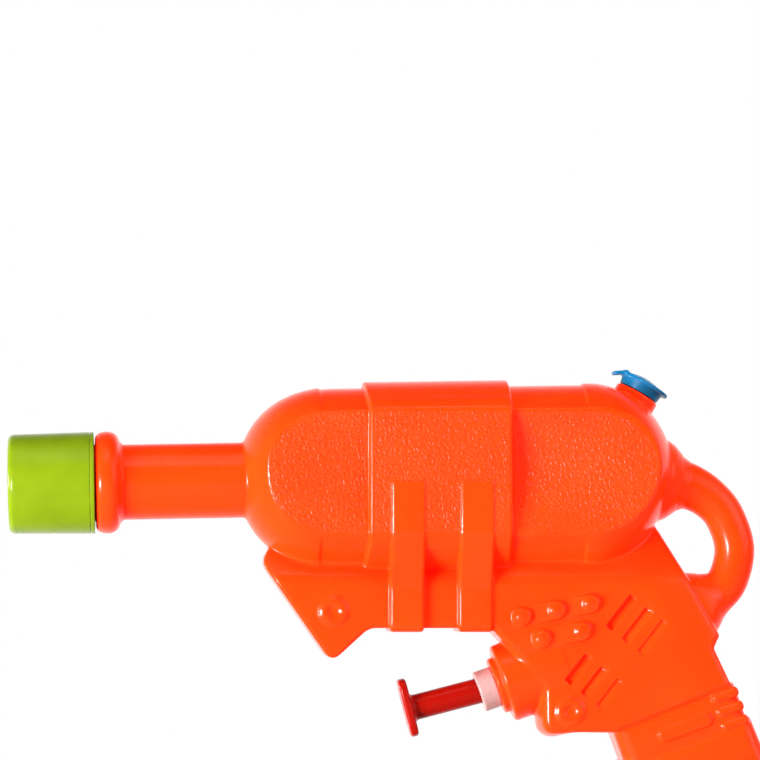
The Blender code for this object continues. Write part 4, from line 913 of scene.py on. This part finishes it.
def rivet_form(x_middle, z_middle, half_width):
    """A low dome with a dimple in its middle, and the spots that it spans."""
    flank = RIVET_RADIUS - RIVET_DIMPLE
    floor = RIVET_DIMPLE * RIVET_FLOOR_SHARE
    profile = rounded([
        (-RIVET_RADIUS, -RIVET_SEAT, CRISP), (RIVET_RADIUS, -RIVET_SEAT, CRISP),
        (RIVET_RADIUS, RIVET_RAISE / 4, RIVET_EDGE),
        (RIVET_RADIUS - flank * RIVET_SLOPE_SHARE, RIVET_RAISE, RIVET_CROWN),
        (RIVET_DIMPLE + flank / 6, RIVET_RAISE, RIVET_LIP),
        (floor, RIVET_FLOOR_RISE, RIVET_EDGE), (-floor, RIVET_FLOOR_RISE, RIVET_EDGE),
    ])

    def form(x, y, z):
        radius = np.hypot(x - x_middle, z - z_middle)
        return outline_distance(profile, radius + 0 * y, np.abs(y) - half_width + 0 * x)
    return form, square(x_middle, z_middle, RIVET_RADIUS)


def stud_forms():
    """Domed studs, each at the raised end of a ramp; yields forms and the spots that they span."""
    run = Vector((math.cos(STUD_SLOPE), math.sin(STUD_SLOPE)))
    sphere = (STUD_RADIUS ** 2 + STUD_RAISE ** 2) / (2 * STUD_RAISE)
    for from_nose, above_axis, pitch, count in STUD_ROWS:
        for k in range(count):
            spot = Vector(tank_point(from_nose, above_axis)) + run * pitch * k

            def dome(x, y, z, spot=spot):
                lift = np.abs(y) - BODY_HALF_WIDTH - STUD_RAISE + sphere
                return np.sqrt((x - spot.x) ** 2 + (z - spot.y) ** 2 + lift ** 2) - sphere

            def bar(x, y, z, spot=spot, pitch=pitch, first=k == 0):
                along = (x - spot.x) * run.x + (z - spot.y) * run.y
                across = (z - spot.y) * run.x - (x - spot.x) * run.y
                start = min(pitch - STUD_RADIUS, BAR_LENGTH if first else pitch)
                capsule = np.hypot(along - np.clip(along, -start, 0), across) - STUD_RADIUS
                height = BAR_RAISE * np.clip((along + start) / (start + STUD_RADIUS), 0, 1)
                return soft_max(capsule, np.abs(y) - BODY_HALF_WIDTH - height, BAR_EDGE)

            yield bar, square(*spot, pitch + STUD_RADIUS)
            yield dome, square(*spot, 2 * STUD_RADIUS)


def slot_forms():
    """Slanting recesses, deep on their left side; yields forms and the spots that they span."""
    along = Vector((math.cos(SLOT_TILT), math.sin(SLOT_TILT)))
    across = Vector((along.y, -along.x))
    for from_nose, above_axis, length in SLOT_GROUPS:
        for k in range(SLOT_COUNT):
            middle = Vector(tank_point(from_nose, above_axis))
            spot = middle + across * SLOT_PITCH * (k - (SLOT_COUNT - 1) / 2)
            deep, shallow = (depth * MM for depth in SLOT_DEPTHS[k])

            def slot(x, y, z, spot=spot, deep=deep, shallow=shallow, length=length):
                u = (x - spot.x) * along.x + (z - spot.y) * along.y
                v = (x - spot.x) * across.x + (z - spot.y) * across.y
                flat = np.maximum(np.abs(u) - length / 2, np.abs(v) - SLOT_WIDTH / 2)
                share = np.clip(0.5 - v / SLOT_WIDTH, 0, 1)
                floor = BODY_HALF_WIDTH - shallow - (deep - shallow) * share
                return np.maximum(flat, floor - np.abs(y))

            yield slot, square(*spot, length)


def web_blend(x, y, z):
    """The web flows broadly into the tank's sides but meets its nose and its ridge line crisply."""
    start = TANK_NOSE_X + WEB_BLEND_START
    share = ramp(np.abs(y), WEB_RIDGE_START, WEB_RIDGE_STOP) * ramp(x, start, start + WEB_BLEND_RUN)
    return WEB_RIDGE_BLEND + (WEB_BLEND - WEB_RIDGE_BLEND) * share + 0 * z


def add_tank(field):
    """Tank with the web under it, its band, the lower body and the straps."""
    field.add(tank_form)
    field.add(web_form, web_outline(), web_blend)
    band = TANK_NOSE_X + BAND_FROM_NOSE
    reach = TANK_HALF_HEIGHT + BAND_RAISE
    corners = [(band, TANK_AXIS_Z - reach), (band + BAND_LENGTH, TANK_AXIS_Z + reach)]
    field.add(band_form, corners, BAND_BLEND)
    field.add(body_form, body_outline(), BODY_BLEND)
    for k in range(STRAP_COUNT):
        field.add(*strap_form(TANK_NOSE_X + STRAP_FROM_NOSE + STRAP_PITCH * k))


def add_loop(field):
    """Loop handle with its two roots."""
    spots = []
    for behind, above_axis, radius in LOOP_ROUTE:
        spots += square(TANK_REAR_X + behind, TANK_AXIS_Z + above_axis, radius)
    field.add(loop_form, spots, LOOP_BLEND)
    for behind, above_axis, nod, half_width, steps in ROOTS:
        turn = math.radians(nod)
        axis = Axis(TANK_REAR_X + behind * MM, TANK_AXIS_Z + above_axis * MM, math.cos(turn), math.sin(turn))
        field.add(*root_form(axis, steps, half_width * MM), ROOT_BLEND)


def add_grip(field):
    """Grip and collar, with the ridges and the pill on the collar."""
    top = GRIP_LENGTH - COLLAR_LENGTH
    grip = rounded([(-GRIP_FRONT, 0, BUTT_CORNER), (GRIP_BACK_BUTT, 0, BUTT_CORNER),
                    (GRIP_BACK_TOP, top, SHOULDER_CORNER), (-GRIP_FRONT, top, SHOULDER_CORNER)])
    field.add(*grip_form(grip, GRIP_HALF_WIDTH, GRIP_EDGE))
    collar = box_outline(-GRIP_FRONT + COLLAR_STEP, GRIP_BACK_TOP - COLLAR_STEP / 2, top - GRIP_EDGE,
                         GRIP_LENGTH + COLLAR_OVERLAP, COLLAR_CORNER)
    field.add(*grip_form(collar, COLLAR_HALF_WIDTH, GRIP_EDGE))
    for k in range(RIDGE_COUNT):
        high = GRIP_LENGTH - RIDGE_PITCH * k
        ridge = box_outline(GRIP_BACK_TOP - RIDGE_LENGTH, GRIP_BACK_TOP - RIDGE_INSET,
                            high - RIDGE_THICK, high, RIDGE_THICK / 2)
        field.add(*grip_form(ridge, COLLAR_HALF_WIDTH + RIDGE_RAISE, RIDGE_EDGE))
    middle = GRIP_LENGTH - COLLAR_LENGTH / 2 - PILL_DROP
    pill = box_outline(-PILL_LENGTH / 2, PILL_LENGTH / 2, middle - PILL_WIDTH / 2, middle + PILL_WIDTH / 2,
                       PILL_WIDTH / 2)
    field.add(*grip_form(pill, COLLAR_HALF_WIDTH + PILL_RAISE, PILL_RAISE))


def add_round_parts(field):
    """Barrel, pump socket and filler neck."""
    neck = rounded([(-FILLER_RADIUS, -FILLER_NECK_LENGTH, CRISP), (FILLER_RADIUS, -FILLER_NECK_LENGTH, CRISP),
                    (FILLER_RADIUS, 0, FILLER_LIP), (-FILLER_RADIUS, 0, FILLER_LIP)])
    field.add(*turned_form(BARREL_AXIS, barrel_profile()), BARREL_BLEND)
    field.add(*turned_form(SOCKET_AXIS, socket_profile()), SOCKET_BLEND)
    field.add(*turned_form(FILLER_AXIS, neck), FILLER_BLEND)


def add_reliefs(field):
    """Studs and rivets on the sides, and the slots in them."""
    for form, spots in stud_forms():
        field.add(form, spots, STUD_BLEND)
    for from_nose, above_axis, half_width in RIVET_SPOTS:
        field.add(*rivet_form(*tank_point(from_nose, above_axis), half_width), RIVET_BLEND)
    for form, spots in slot_forms():
        field.cut(form, spots, SLOT_BLEND)


def open_bores(field):
    """Holes through barrel, pump socket and filler neck."""
    for axis, radius, start, stop in (
        (BARREL_AXIS, BARREL_RADIUS - WALL, -BARREL_ROOT, MOUTH + MARGIN),
        (PUMP_AXIS, SOCKET_BORE, 0, SOCKET_BORE_DEPTH),
        (FILLER_AXIS, FILLER_BORE, -FILLER_NECK_LENGTH - FILLER_BORE_EXTRA, MARGIN),
    ):
        field.cut(*drill_form(axis, radius, start, stop), DRILL_BLEND)


def shell_field():
    """The whole blow-moulded body."""
    low = Vector((BARREL_AXIS.point(MOUTH).x - ROOM, 0, CAD_LOW.z - ROOM))
    high = Vector((CAD_HIGH.x + ROOM_REAR, STRAP_CHEST + ROOM, CAD_HIGH.z + ROOM))
    field = Field(low, high, SHELL_STEP)
    add_tank(field)
    add_loop(field)
    add_grip(field)
    add_round_parts(field)
    add_reliefs(field)
    field.hollow(WALL)
    open_bores(field)
    return field


def cap_piece():
    """Green cap: tapered skirt with a fine groove by its rear rim, rounded front, sleeve over the neck."""
    sleeve_in = BARREL_RADIUS + SEAT_GAP
    sleeve_out = sleeve_in + CAP_SLEEVE_WALL
    skirt_in = CAP_REAR_RADIUS - CAP_WALL
    inside = CAP_FRONT - CAP_WALL
    hole = NOZZLE_RADIUS + SEAT_GAP
    groove = CAP_START + CAP_LIP
    return lathe("cap_skin", BARREL_AXIS, rounded([
        (skirt_in, CAP_START, FINE), (CAP_REAR_RADIUS, CAP_START, FINE), (CAP_REAR_RADIUS, groove, FINE),
        (CAP_REAR_RADIUS - CAP_GROOVE, groove + CAP_GROOVE, FINE),
        (CAP_REAR_RADIUS, groove + 2 * CAP_GROOVE, FINE),
        (CAP_FRONT_RADIUS, CAP_FRONT, CAP_EDGE), (hole, CAP_FRONT, FINE), (hole, inside, FINE),
        (sleeve_in, inside, FINE), (sleeve_in, CAP_START + CAP_WALL, FINE),
        (sleeve_out, CAP_START + CAP_WALL, FINE), (sleeve_out, inside, FINE),
        (skirt_in - CAP_EDGE / 2, inside, FINE), (skirt_in, inside - CAP_EDGE / 2, FINE),
    ]))


def sleeve_piece():
    """White sleeve, square on the tilted socket and bored along the rod, with room for seal and washer."""
    outline = rounded([
        (-SLEEVE_RADIUS, -SLEEVE_LENGTH, FINE), (SLEEVE_RADIUS, -SLEEVE_LENGTH, GLAND_EDGE),
        (SLEEVE_RADIUS, -SLEEVE_GAP, FINE), (-SLEEVE_RADIUS, -SLEEVE_GAP, FINE),
    ])
    rod_hole = ROD_RADIUS + SLIDE_GAP
    groove_start = (GLAND_WALL - ROD_SEAL_GROOVE) / 2
    bores = ((rod_hole, -SLEEVE_LENGTH, SLEEVE_LENGTH),
             (rod_hole + ROD_SEAL_DEPTH, groove_start, groove_start + ROD_SEAL_GROOVE),
             (CYLINDER_RADIUS + SLIDE_GAP, GLAND_WALL, 2 * SLEEVE_LENGTH),
             (WASHER_RADIUS + SLIDE_GAP / 2, GLAND_LENGTH, 2 * SLEEVE_LENGTH))
    middle = SOCKET_AXIS.point(-SLEEVE_LENGTH / 2)
    room = SLEEVE_RADIUS + SLEEVE_LENGTH / 2
    low = Vector((middle.x - room, 0, middle.z - room))
    high = Vector((middle.x + room, SLEEVE_RADIUS + FINE * 4, middle.z + room))
    field = Field(low, high, SMALL_STEP / 2)
    field.add(*turned_form(SOCKET_AXIS, outline))
    for radius, start, stop in bores:
        field.cut(*drill_form(PUMP_AXIS, radius, start, stop), FINE / 2)
    return carve("sleeve_skin", field, SMALL_TRIANGLES)


def washer_piece():
    """Rubber washer behind the sleeve."""
    start = GLAND_LENGTH + SLIDE_GAP
    inner = CYLINDER_RADIUS + SLIDE_GAP
    return lathe("washer_skin", PUMP_AXIS, rounded([
        (inner, start, FINE), (WASHER_RADIUS, start, FINE), (WASHER_RADIUS, start + WASHER_THICK, FINE),
        (inner, start + WASHER_THICK, FINE),
    ]))


def plunger_piece():
    """Red rod with its crowned finger plate and grooved piston."""
    piston = CYLINDER_RADIUS - CYLINDER_WALL - SLIDE_GAP
    groove = piston - PISTON_GROOVE_DEPTH
    start = PISTON_START + (PISTON_LENGTH - PISTON_GROOVE) / 2
    stop = start + PISTON_GROOVE
    rod = [
        (-ROD_RADIUS, -ROD_REACH), (ROD_RADIUS, -ROD_REACH), (ROD_RADIUS, CYLINDER_START),
        (piston, PISTON_START), (piston, start), (groove, start), (groove, stop), (piston, stop),
        (piston, PISTON_END), (-piston, PISTON_END),
    ]
    outline = box_outline(-PLATE_HEIGHT / 2, PLATE_HEIGHT / 2, -PLATE_WIDTH / 2, PLATE_WIDTH / 2,
                          PLATE_CORNER)
    middle = SLIDE_GAP - ROD_REACH - PLATE_THICK / 2

    def plate(x, y, z):
        across = PUMP_AXIS.across(x, z) - PLATE_RISE
        crown = PLATE_CROWN * ((2 * across / PLATE_HEIGHT) ** 2 + (2 * y / PLATE_WIDTH) ** 2) / 2
        offset = PUMP_AXIS.along(x, z) - middle
        face = np.maximum(offset, crown - offset) - PLATE_THICK / 2
        return rim(outline_distance(outline, across + 0 * y, y + 0 * across), face, PLATE_EDGE)

    front = PUMP_AXIS.point(-ROD_REACH - PLATE_THICK)
    back = PUMP_AXIS.point(PISTON_END)
    reach = Vector((PLATE_HEIGHT / 2, 0, PLATE_HEIGHT / 2))
    low = Vector((front.x, 0, front.z)) - reach
    high = Vector((back.x, PLATE_WIDTH / 2 + PLATE_EDGE, back.z)) + reach
    field = Field(low, high, SMALL_STEP)
    field.add(*turned_form(PUMP_AXIS, rod))
    field.add(plate, blend=ROD_FILLET)
    return carve("plunger_skin", field, SMALL_TRIANGLES)


def plug_piece():
    """Blue push-in plug: disc, skirt, hollow stem and the thin pull tab."""
    stem = FILLER_BORE - SEAT_GAP
    hollow = stem - PLUG_WALL
    skirt_top = SEAT_GAP + PLUG_SKIRT_HEIGHT
    top = skirt_top + PLUG_DISC_THICK
    body = rounded([
        (-hollow, skirt_top, FINE), (hollow, skirt_top, FINE), (hollow, -PLUG_STEM_LENGTH, FINE),
        (stem, -PLUG_STEM_LENGTH, FINE), (stem, SEAT_GAP, FINE), (PLUG_SKIRT_RADIUS, SEAT_GAP, FINE),
        (PLUG_SKIRT_TOP, top, FINE), (0, top + 2 * PLUG_CROWN, PLUG_CROWN_ROUND),
        (-PLUG_SKIRT_TOP, top, FINE),
    ])
    disc = rounded([
        (-PLUG_DISC_RADIUS, skirt_top, FINE), (PLUG_DISC_RADIUS, skirt_top, PLUG_DISC_EDGE / 2),
        (PLUG_DISC_RADIUS, top, PLUG_DISC_EDGE), (-PLUG_DISC_RADIUS, top, PLUG_DISC_EDGE),
    ])
    hub = FILLER_AXIS.point(0, -PLUG_DISC_SHIFT)
    disc_axis = Axis(hub.x, hub.z, FILLER_AXIS.forward.x, FILLER_AXIS.forward.z)
    reach = PLUG_DISC_RADIUS - PLUG_SKIRT_TOP + TAB_REACH
    outline = rounded([(-PLUG_WALL, -TAB_WIDTH / 2, FINE), (reach, -TAB_WIDTH / 2, TAB_REACH / 2),
                       (reach, TAB_WIDTH / 2, TAB_REACH / 2), (-PLUG_WALL, TAB_WIDTH / 2, FINE)])

    def tab(x, y, z):
        across = FILLER_AXIS.across(x, z) - PLUG_SKIRT_TOP
        along = FILLER_AXIS.along(x, z) - skirt_top - PLUG_DISC_THICK / 2
        outward = across * math.cos(TAB_DROOP) - along * math.sin(TAB_DROOP)
        upward = across * math.sin(TAB_DROOP) + along * math.cos(TAB_DROOP)
        flat = outline_distance(outline, outward + 0 * y, y + 0 * outward)
        return rim(flat, np.abs(upward) - TAB_THICK / 2, TAB_THICK / 3)

    middle = FILLER_AXIS.origin
    room = PLUG_DISC_RADIUS + PLUG_DISC_SHIFT + TAB_REACH
    low = Vector((middle.x - room, 0, middle.z - room))
    high = Vector((middle.x + room, PLUG_DISC_RADIUS + TAB_THICK, middle.z + room))
    field = Field(low, high, SMALL_STEP / 2)
    field.add(*turned_form(FILLER_AXIS, body))
    field.add(*turned_form(disc_axis, disc))
    field.add(tab, blend=TAB_THICK)
    return carve("plug_skin", field, SMALL_TRIANGLES)


def fill(tree, node, values):
    """Set a node's sockets to constants, or link them to other nodes' outputs."""
    for key, value in values.items():
        if isinstance(value, bpy.types.NodeSocket):
            tree.links.new(value, node.inputs[key])
        else:
            node.inputs[key].default_value = value


def add_node(tree, kind, values, **settings):
    made = tree.nodes.new(kind)
    for key, value in settings.items():
        setattr(made, key, value)
    fill(tree, made, values)
    return made


def smooth_range(tree, value, low, high, to_low=0.0, to_high=1.0):
    """Smooth change from to_low to to_high as value goes from low to high."""
    values = {"Value": value, "From Min": low, "From Max": high, "To Min": to_low, "To Max": to_high}
    return add_node(tree, "ShaderNodeMapRange", values, interpolation_type="SMOOTHSTEP").outputs["Result"]


class Finish:
    """A Principled material that is built up from procedural nodes."""

    def __init__(self, name):
        self.material = bpy.data.materials.new(name)
        self.material.use_nodes = True
        self.tree = self.material.node_tree
        self.shader = self.tree.nodes["Principled BSDF"]
        self.place = self.node("ShaderNodeTexCoord", {}).outputs["Object"]

    def node(self, kind, values, **settings):
        return add_node(self.tree, kind, values, **settings)

    def fill(self, values):
        fill(self.tree, self.shader, values)

    def noise(self, size, detail=3.0, output="Fac"):
        """Noise whose spots are about as wide as size."""
        values = {"Vector": self.place, "Scale": 1 / size, "Detail": detail}
        return self.node("ShaderNodeTexNoise", values).outputs[output]

    def spread(self, value, low, high, to_low=0.0, to_high=1.0):
        return smooth_range(self.tree, value, low, high, to_low, to_high)

    def mottle(self, size, low, high):
        """A measure that varies between two values, in spots of a size."""
        return self.spread(self.noise(size), *NOISE_RANGE, low, high)

    def clouds(self, size, dark, light):
        """A colour that varies between two linear ones, in spots of a size."""
        made = self.node("ShaderNodeValToRGB", {"Fac": self.noise(size)})
        for element, position, colour in zip(made.color_ramp.elements, NOISE_RANGE, (dark, light)):
            element.position = position
            element.color = (*colour, 1.0)
        return made.outputs["Color"]

    def math(self, operation, a, b=None):
        values = {0: a} if b is None else {0: a, 1: b}
        return self.node("ShaderNodeMath", values, operation=operation).outputs[0]

    def bump(self, height, depth, under=None):
        values = {"Height": height, "Distance": depth}
        if under is not None:
            values["Normal"] = under
        return self.node("ShaderNodeBump", values).outputs["Normal"]


def leather_mask(finish):
    """1 on the sides of tank and band: inside the border's outline, outside the straps."""
    calc = finish.math
    parts = finish.node("ShaderNodeSeparateXYZ", {"Vector": finish.place}).outputs
    side = calc("ABSOLUTE", parts["Y"])
    top = [TANK_HALF_WIDTH + BAND_RAISE + fade for fade in LEATHER_FADE]
    inner = calc("GREATER_THAN", side, TANK_HALF_WIDTH - DISH_REAR - BAND_RAISE)
    mask = calc("MULTIPLY", inner, finish.spread(side, *top, 1.0, 0.0))
    start = TANK_NOSE_X + BAND_FROM_NOSE
    for wall in (start, start + BAND_LENGTH):
        away = calc("ABSOLUTE", calc("SUBTRACT", parts["X"], wall))
        mask = calc("MULTIPLY", mask, finish.spread(away, BAND_EDGE, 2 * BAND_EDGE))
    beyond = []
    for hub, reach, power in ((TAIL_HUB, TAIL_DEPTH - BORDER_TAIL, TAIL_POWER),
                              (NOSE_HUB, BORDER_NOSE - NOSE_DEPTH, NOSE_POWER)):
        run = calc("DIVIDE", calc("SUBTRACT", parts["X"], hub), reach)
        beyond.append(calc("POWER", calc("MAXIMUM", run, 0.0), power))
    rise = calc("ABSOLUTE", calc("SUBTRACT", parts["Z"], PANEL_Z))
    across = calc("POWER", calc("DIVIDE", rise, PANEL_HALF_HEIGHT), NOSE_POWER)
    panel = calc("ADD", calc("MAXIMUM", *beyond), across)
    return calc("MULTIPLY", mask, finish.spread(panel, *LEATHER_RIM, 1.0, 0.0))


def leather_grain(finish):
    """Height of wrinkles round wandering cells, with specks, about zero on average."""
    wander = finish.noise(WANDER_SIZE, GRAIN_DETAIL, "Color")
    bent = finish.node("ShaderNodeVectorMath", {0: wander, "Scale": WANDER_REACH}, operation="SCALE")
    bent = finish.node("ShaderNodeVectorMath", {0: finish.place, 1: bent.outputs["Vector"]}, operation="ADD")
    cells = finish.node("ShaderNodeTexVoronoi", {"Vector": bent.outputs["Vector"], "Scale": 1 / GRAIN_CELL},
                        feature="DISTANCE_TO_EDGE")
    wrinkle = finish.spread(cells.outputs["Distance"], 0.0, WRINKLE_WIDTH)
    specks = finish.noise(GRAIN_SPECK, GRAIN_DETAIL)
    return finish.math("SUBTRACT", finish.math("ADD", wrinkle, specks), GRAIN_MEAN)


def orange_finish():
    """Glossy moulding, grained and duller on the sides of tank and band."""
    finish = Finish("orange_moulding_finish")
    leather = leather_mask(finish)
    dull = finish.math("MULTIPLY", leather, LEATHER_DULL)
    normal = finish.bump(finish.math("MULTIPLY", leather_grain(finish), leather), GRAIN_DEPTH)
    finish.fill({
        "Base Color": finish.clouds(ORANGE_CLOUD, *ORANGE),
        "Roughness": finish.math("ADD", dull, finish.mottle(ORANGE_SPOT, *ORANGE_ROUGH)),
        "Normal": finish.bump(finish.noise(WAVE_LENGTH, WAVE_DETAIL), WAVE_DEPTH, normal),
        "Specular IOR Level": GLOSS,
        "Subsurface Weight": SKIN_WEIGHT,
        "Subsurface Radius": SKIN_RADIUS,
        "Subsurface Scale": 1.0,
    })
    return finish.material


def moulded_finish(name, dark, light, roughness, grain=0.0, clear=0.0):
    """A plain moulded plastic with faint clouds in colour and gloss and a slight waviness."""
    finish = Finish(name)
    normal = finish.bump(finish.noise(WAVE_LENGTH / 2, WAVE_DETAIL), WAVE_DEPTH / 2)
    if grain:
        normal = finish.bump(finish.noise(RUBBER_GRAIN, GRAIN_DETAIL), grain, normal)
    finish.fill({
        "Base Color": finish.clouds(PLAIN_CLOUD, dark, light),
        "Roughness": finish.mottle(PLAIN_SPOT, roughness - ROUGH_SPREAD, roughness + ROUGH_SPREAD),
        "Normal": normal,
        "Transmission Weight": clear,
        "Specular IOR Level": GLOSS,
    })
    return finish.material


def steel_finish():
    finish = Finish("spring_steel_finish")
    finish.fill({
        "Base Color": finish.clouds(STEEL_CLOUD, *STEEL),
        "Roughness": finish.mottle(STEEL_SPOT, *STEEL_ROUGH),
        "Metallic": 1.0,
    })
    return finish.material


def surroundings():
    """White to the camera; a glow that fades towards the camera's side and the top to everything else."""
    world = bpy.data.worlds.new("studio")
    bpy.context.scene.world = world
    world.use_nodes = True
    tree = world.node_tree
    tree.nodes.clear()
    place = add_node(tree, "ShaderNodeTexCoord", {}).outputs["Generated"]
    parts = add_node(tree, "ShaderNodeSeparateXYZ", {"Vector": place}).outputs
    depth = smooth_range(tree, parts["Y"], *WORLD_DEPTH, WORLD_FRONT, WORLD_BACK)
    height = smooth_range(tree, parts["Z"], *WORLD_RISE, WORLD_LOW, WORLD_HIGH)
    glow = add_node(tree, "ShaderNodeMath", {0: depth, 1: height}, operation="MULTIPLY").outputs[0]
    shades = {0: add_node(tree, "ShaderNodeLightPath", {}).outputs["Is Camera Ray"]}
    for slot, strength in ((1, glow), (2, 1.0)):
        shade = add_node(tree, "ShaderNodeBackground", {"Color": (1, 1, 1, 1), "Strength": strength})
        shades[slot] = shade.outputs[0]
    mixed = add_node(tree, "ShaderNodeMixShader", shades)
    add_node(tree, "ShaderNodeOutputWorld", {"Surface": mixed.outputs[0]})


def face(thing, aim, azimuth, elevation, distance):
    """Put a lamp or a camera into the scene, facing a spot."""
    away = Vector((math.sin(azimuth) * math.cos(elevation), -math.cos(azimuth) * math.cos(elevation),
                   math.sin(elevation)))
    thing.location = aim + away * distance
    thing.rotation_euler = away.to_track_quat("Z", "Y").to_euler()
    bpy.context.scene.collection.objects.link(thing)


def lamps():
    """A soft key and two strips from the left, a box and a fill from the right, and a fill from above."""
    for name, azimuth, elevation, distance, wide, tall, power, lights in LIGHTS:
        data = bpy.data.lights.new(name, "AREA")
        data.shape = "RECTANGLE"
        data.size, data.size_y, data.energy = wide, tall, power
        lamp = bpy.data.objects.new(name, data)
        lamp.visible_glossy = lights != "diffuse"
        lamp.visible_diffuse = lights != "gloss"
        face(lamp, LIGHT_AIM, math.radians(azimuth), math.radians(elevation), distance)


def pale_floor():
    """Floor just below the grip that casts no shadow."""
    bm = bmesh.new()
    bmesh.ops.create_grid(bm, x_segments=1, y_segments=1, size=FLOOR_HALF)
    mesh = bpy.data.meshes.new("floor")
    bm.to_mesh(mesh)
    bm.free()
    floor = bpy.data.objects.new("floor", mesh)
    floor.location = (LIGHT_AIM.x, 0, CAD_LOW.z - FLOOR_GAP)
    bpy.context.scene.collection.objects.link(floor)
    floor.visible_shadow = False
    floor.visible_glossy = False
    finish = Finish("floor_finish")
    finish.fill({"Base Color": finish.clouds(FLOOR_CLOUD, *FLOOR_GREY), "Roughness": FLOOR_ROUGH})
    mesh.materials.append(finish.material)


def make_camera():
    data = bpy.data.cameras.new("camera")
    data.sensor_width = SENSOR
    data.lens = SENSOR * CAMERA_DISTANCE / VIEW_WIDTH
    camera = bpy.data.objects.new("camera", data)
    face(camera, VIEW_AIM, CAMERA_AZIMUTH, CAMERA_ELEVATION, CAMERA_DISTANCE)
    bpy.context.scene.camera = camera


def dress(piece, finish, body, node):
    piece.data.materials.clear()
    piece.data.materials.append(finish)
    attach(piece, body)
    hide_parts(node)


def paint_node(name, finish, slot):
    """Finish for a CAD node that keeps its own mesh."""
    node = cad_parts[name]
    node.data.materials.clear()
    node.data.materials.append(finish)


def coil_piece(name, axis, finish):
    """A copy of a spring's CAD node with its own mesh, dressed in a finish and attached to the housing."""
    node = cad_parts[name]
    coil = bpy.data.objects.new(name + "_coil", node.data.copy())
    coil.matrix_world = node.matrix_world
    bpy.context.scene.collection.objects.link(coil)
    spots = [coil.matrix_world @ vertex.co for vertex in coil.data.vertices]
    ends = [axis.along(spot.x, spot.z) for spot in spots]
    dress(coil, finish, "housing", name)
    far = axis.point(max(ends))
    tuple(axis.forward)
    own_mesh(coil)


def main():
    dress(carve("body_skin", shell_field(), SHELL_TRIANGLES), orange_finish(), "housing", "body_shell")
    green = moulded_finish("green_cap_finish", *GREEN)
    red = moulded_finish("red_plunger_finish", *RED)
    blue = moulded_finish("blue_plug_finish", *BLUE)
    # white plastic whose pink tint is a painted reflection of the orange body's light
    white = moulded_finish("white_moulding_painted_orange_bounce_finish", *WHITE_WITH_PAINTED_ORANGE_BOUNCE)
    hose = moulded_finish("clear_hose_finish", *HOSE, clear=HOSE_CLEAR)
    rubber = moulded_finish("black_rubber_finish", *RUBBER, RUBBER_GRAIN_DEPTH)
    steel = steel_finish()
    dress(cap_piece(), green, "housing", "muzzle_cap")
    dress(sleeve_piece(), white, "housing", "pump_gland")
    dress(washer_piece(), rubber, "housing", "pump_washer")
    dress(plunger_piece(), red, "trigger", "trigger_plunger")
    dress(plug_piece(), blue, "plug", "filler_plug")
    for finish, slot, names in (
        (white, "white_moulding",
         ("pump_cylinder", "ball_cage", "inlet_fitting", "nozzle_body", "nozzle_tip")),
        (hose, "clear_hose", ("delivery_hose", "pickup_hose")),
        (rubber, "black_rubber", ("piston_seal", "rod_seal", "muzzle_seal")),
        (steel, "spring_steel", ("inlet_ball", "outlet_ball")),
    ):
        for name in names:
            paint_node(name, finish, slot)
    coil_piece("return_spring", PUMP_AXIS, steel)
    coil_piece("outlet_spring", BARREL_AXIS, steel)
    bpy.context.scene.view_settings.view_transform = "Standard"
    surroundings()
    lamps()
    pale_floor()
    make_camera()


main()
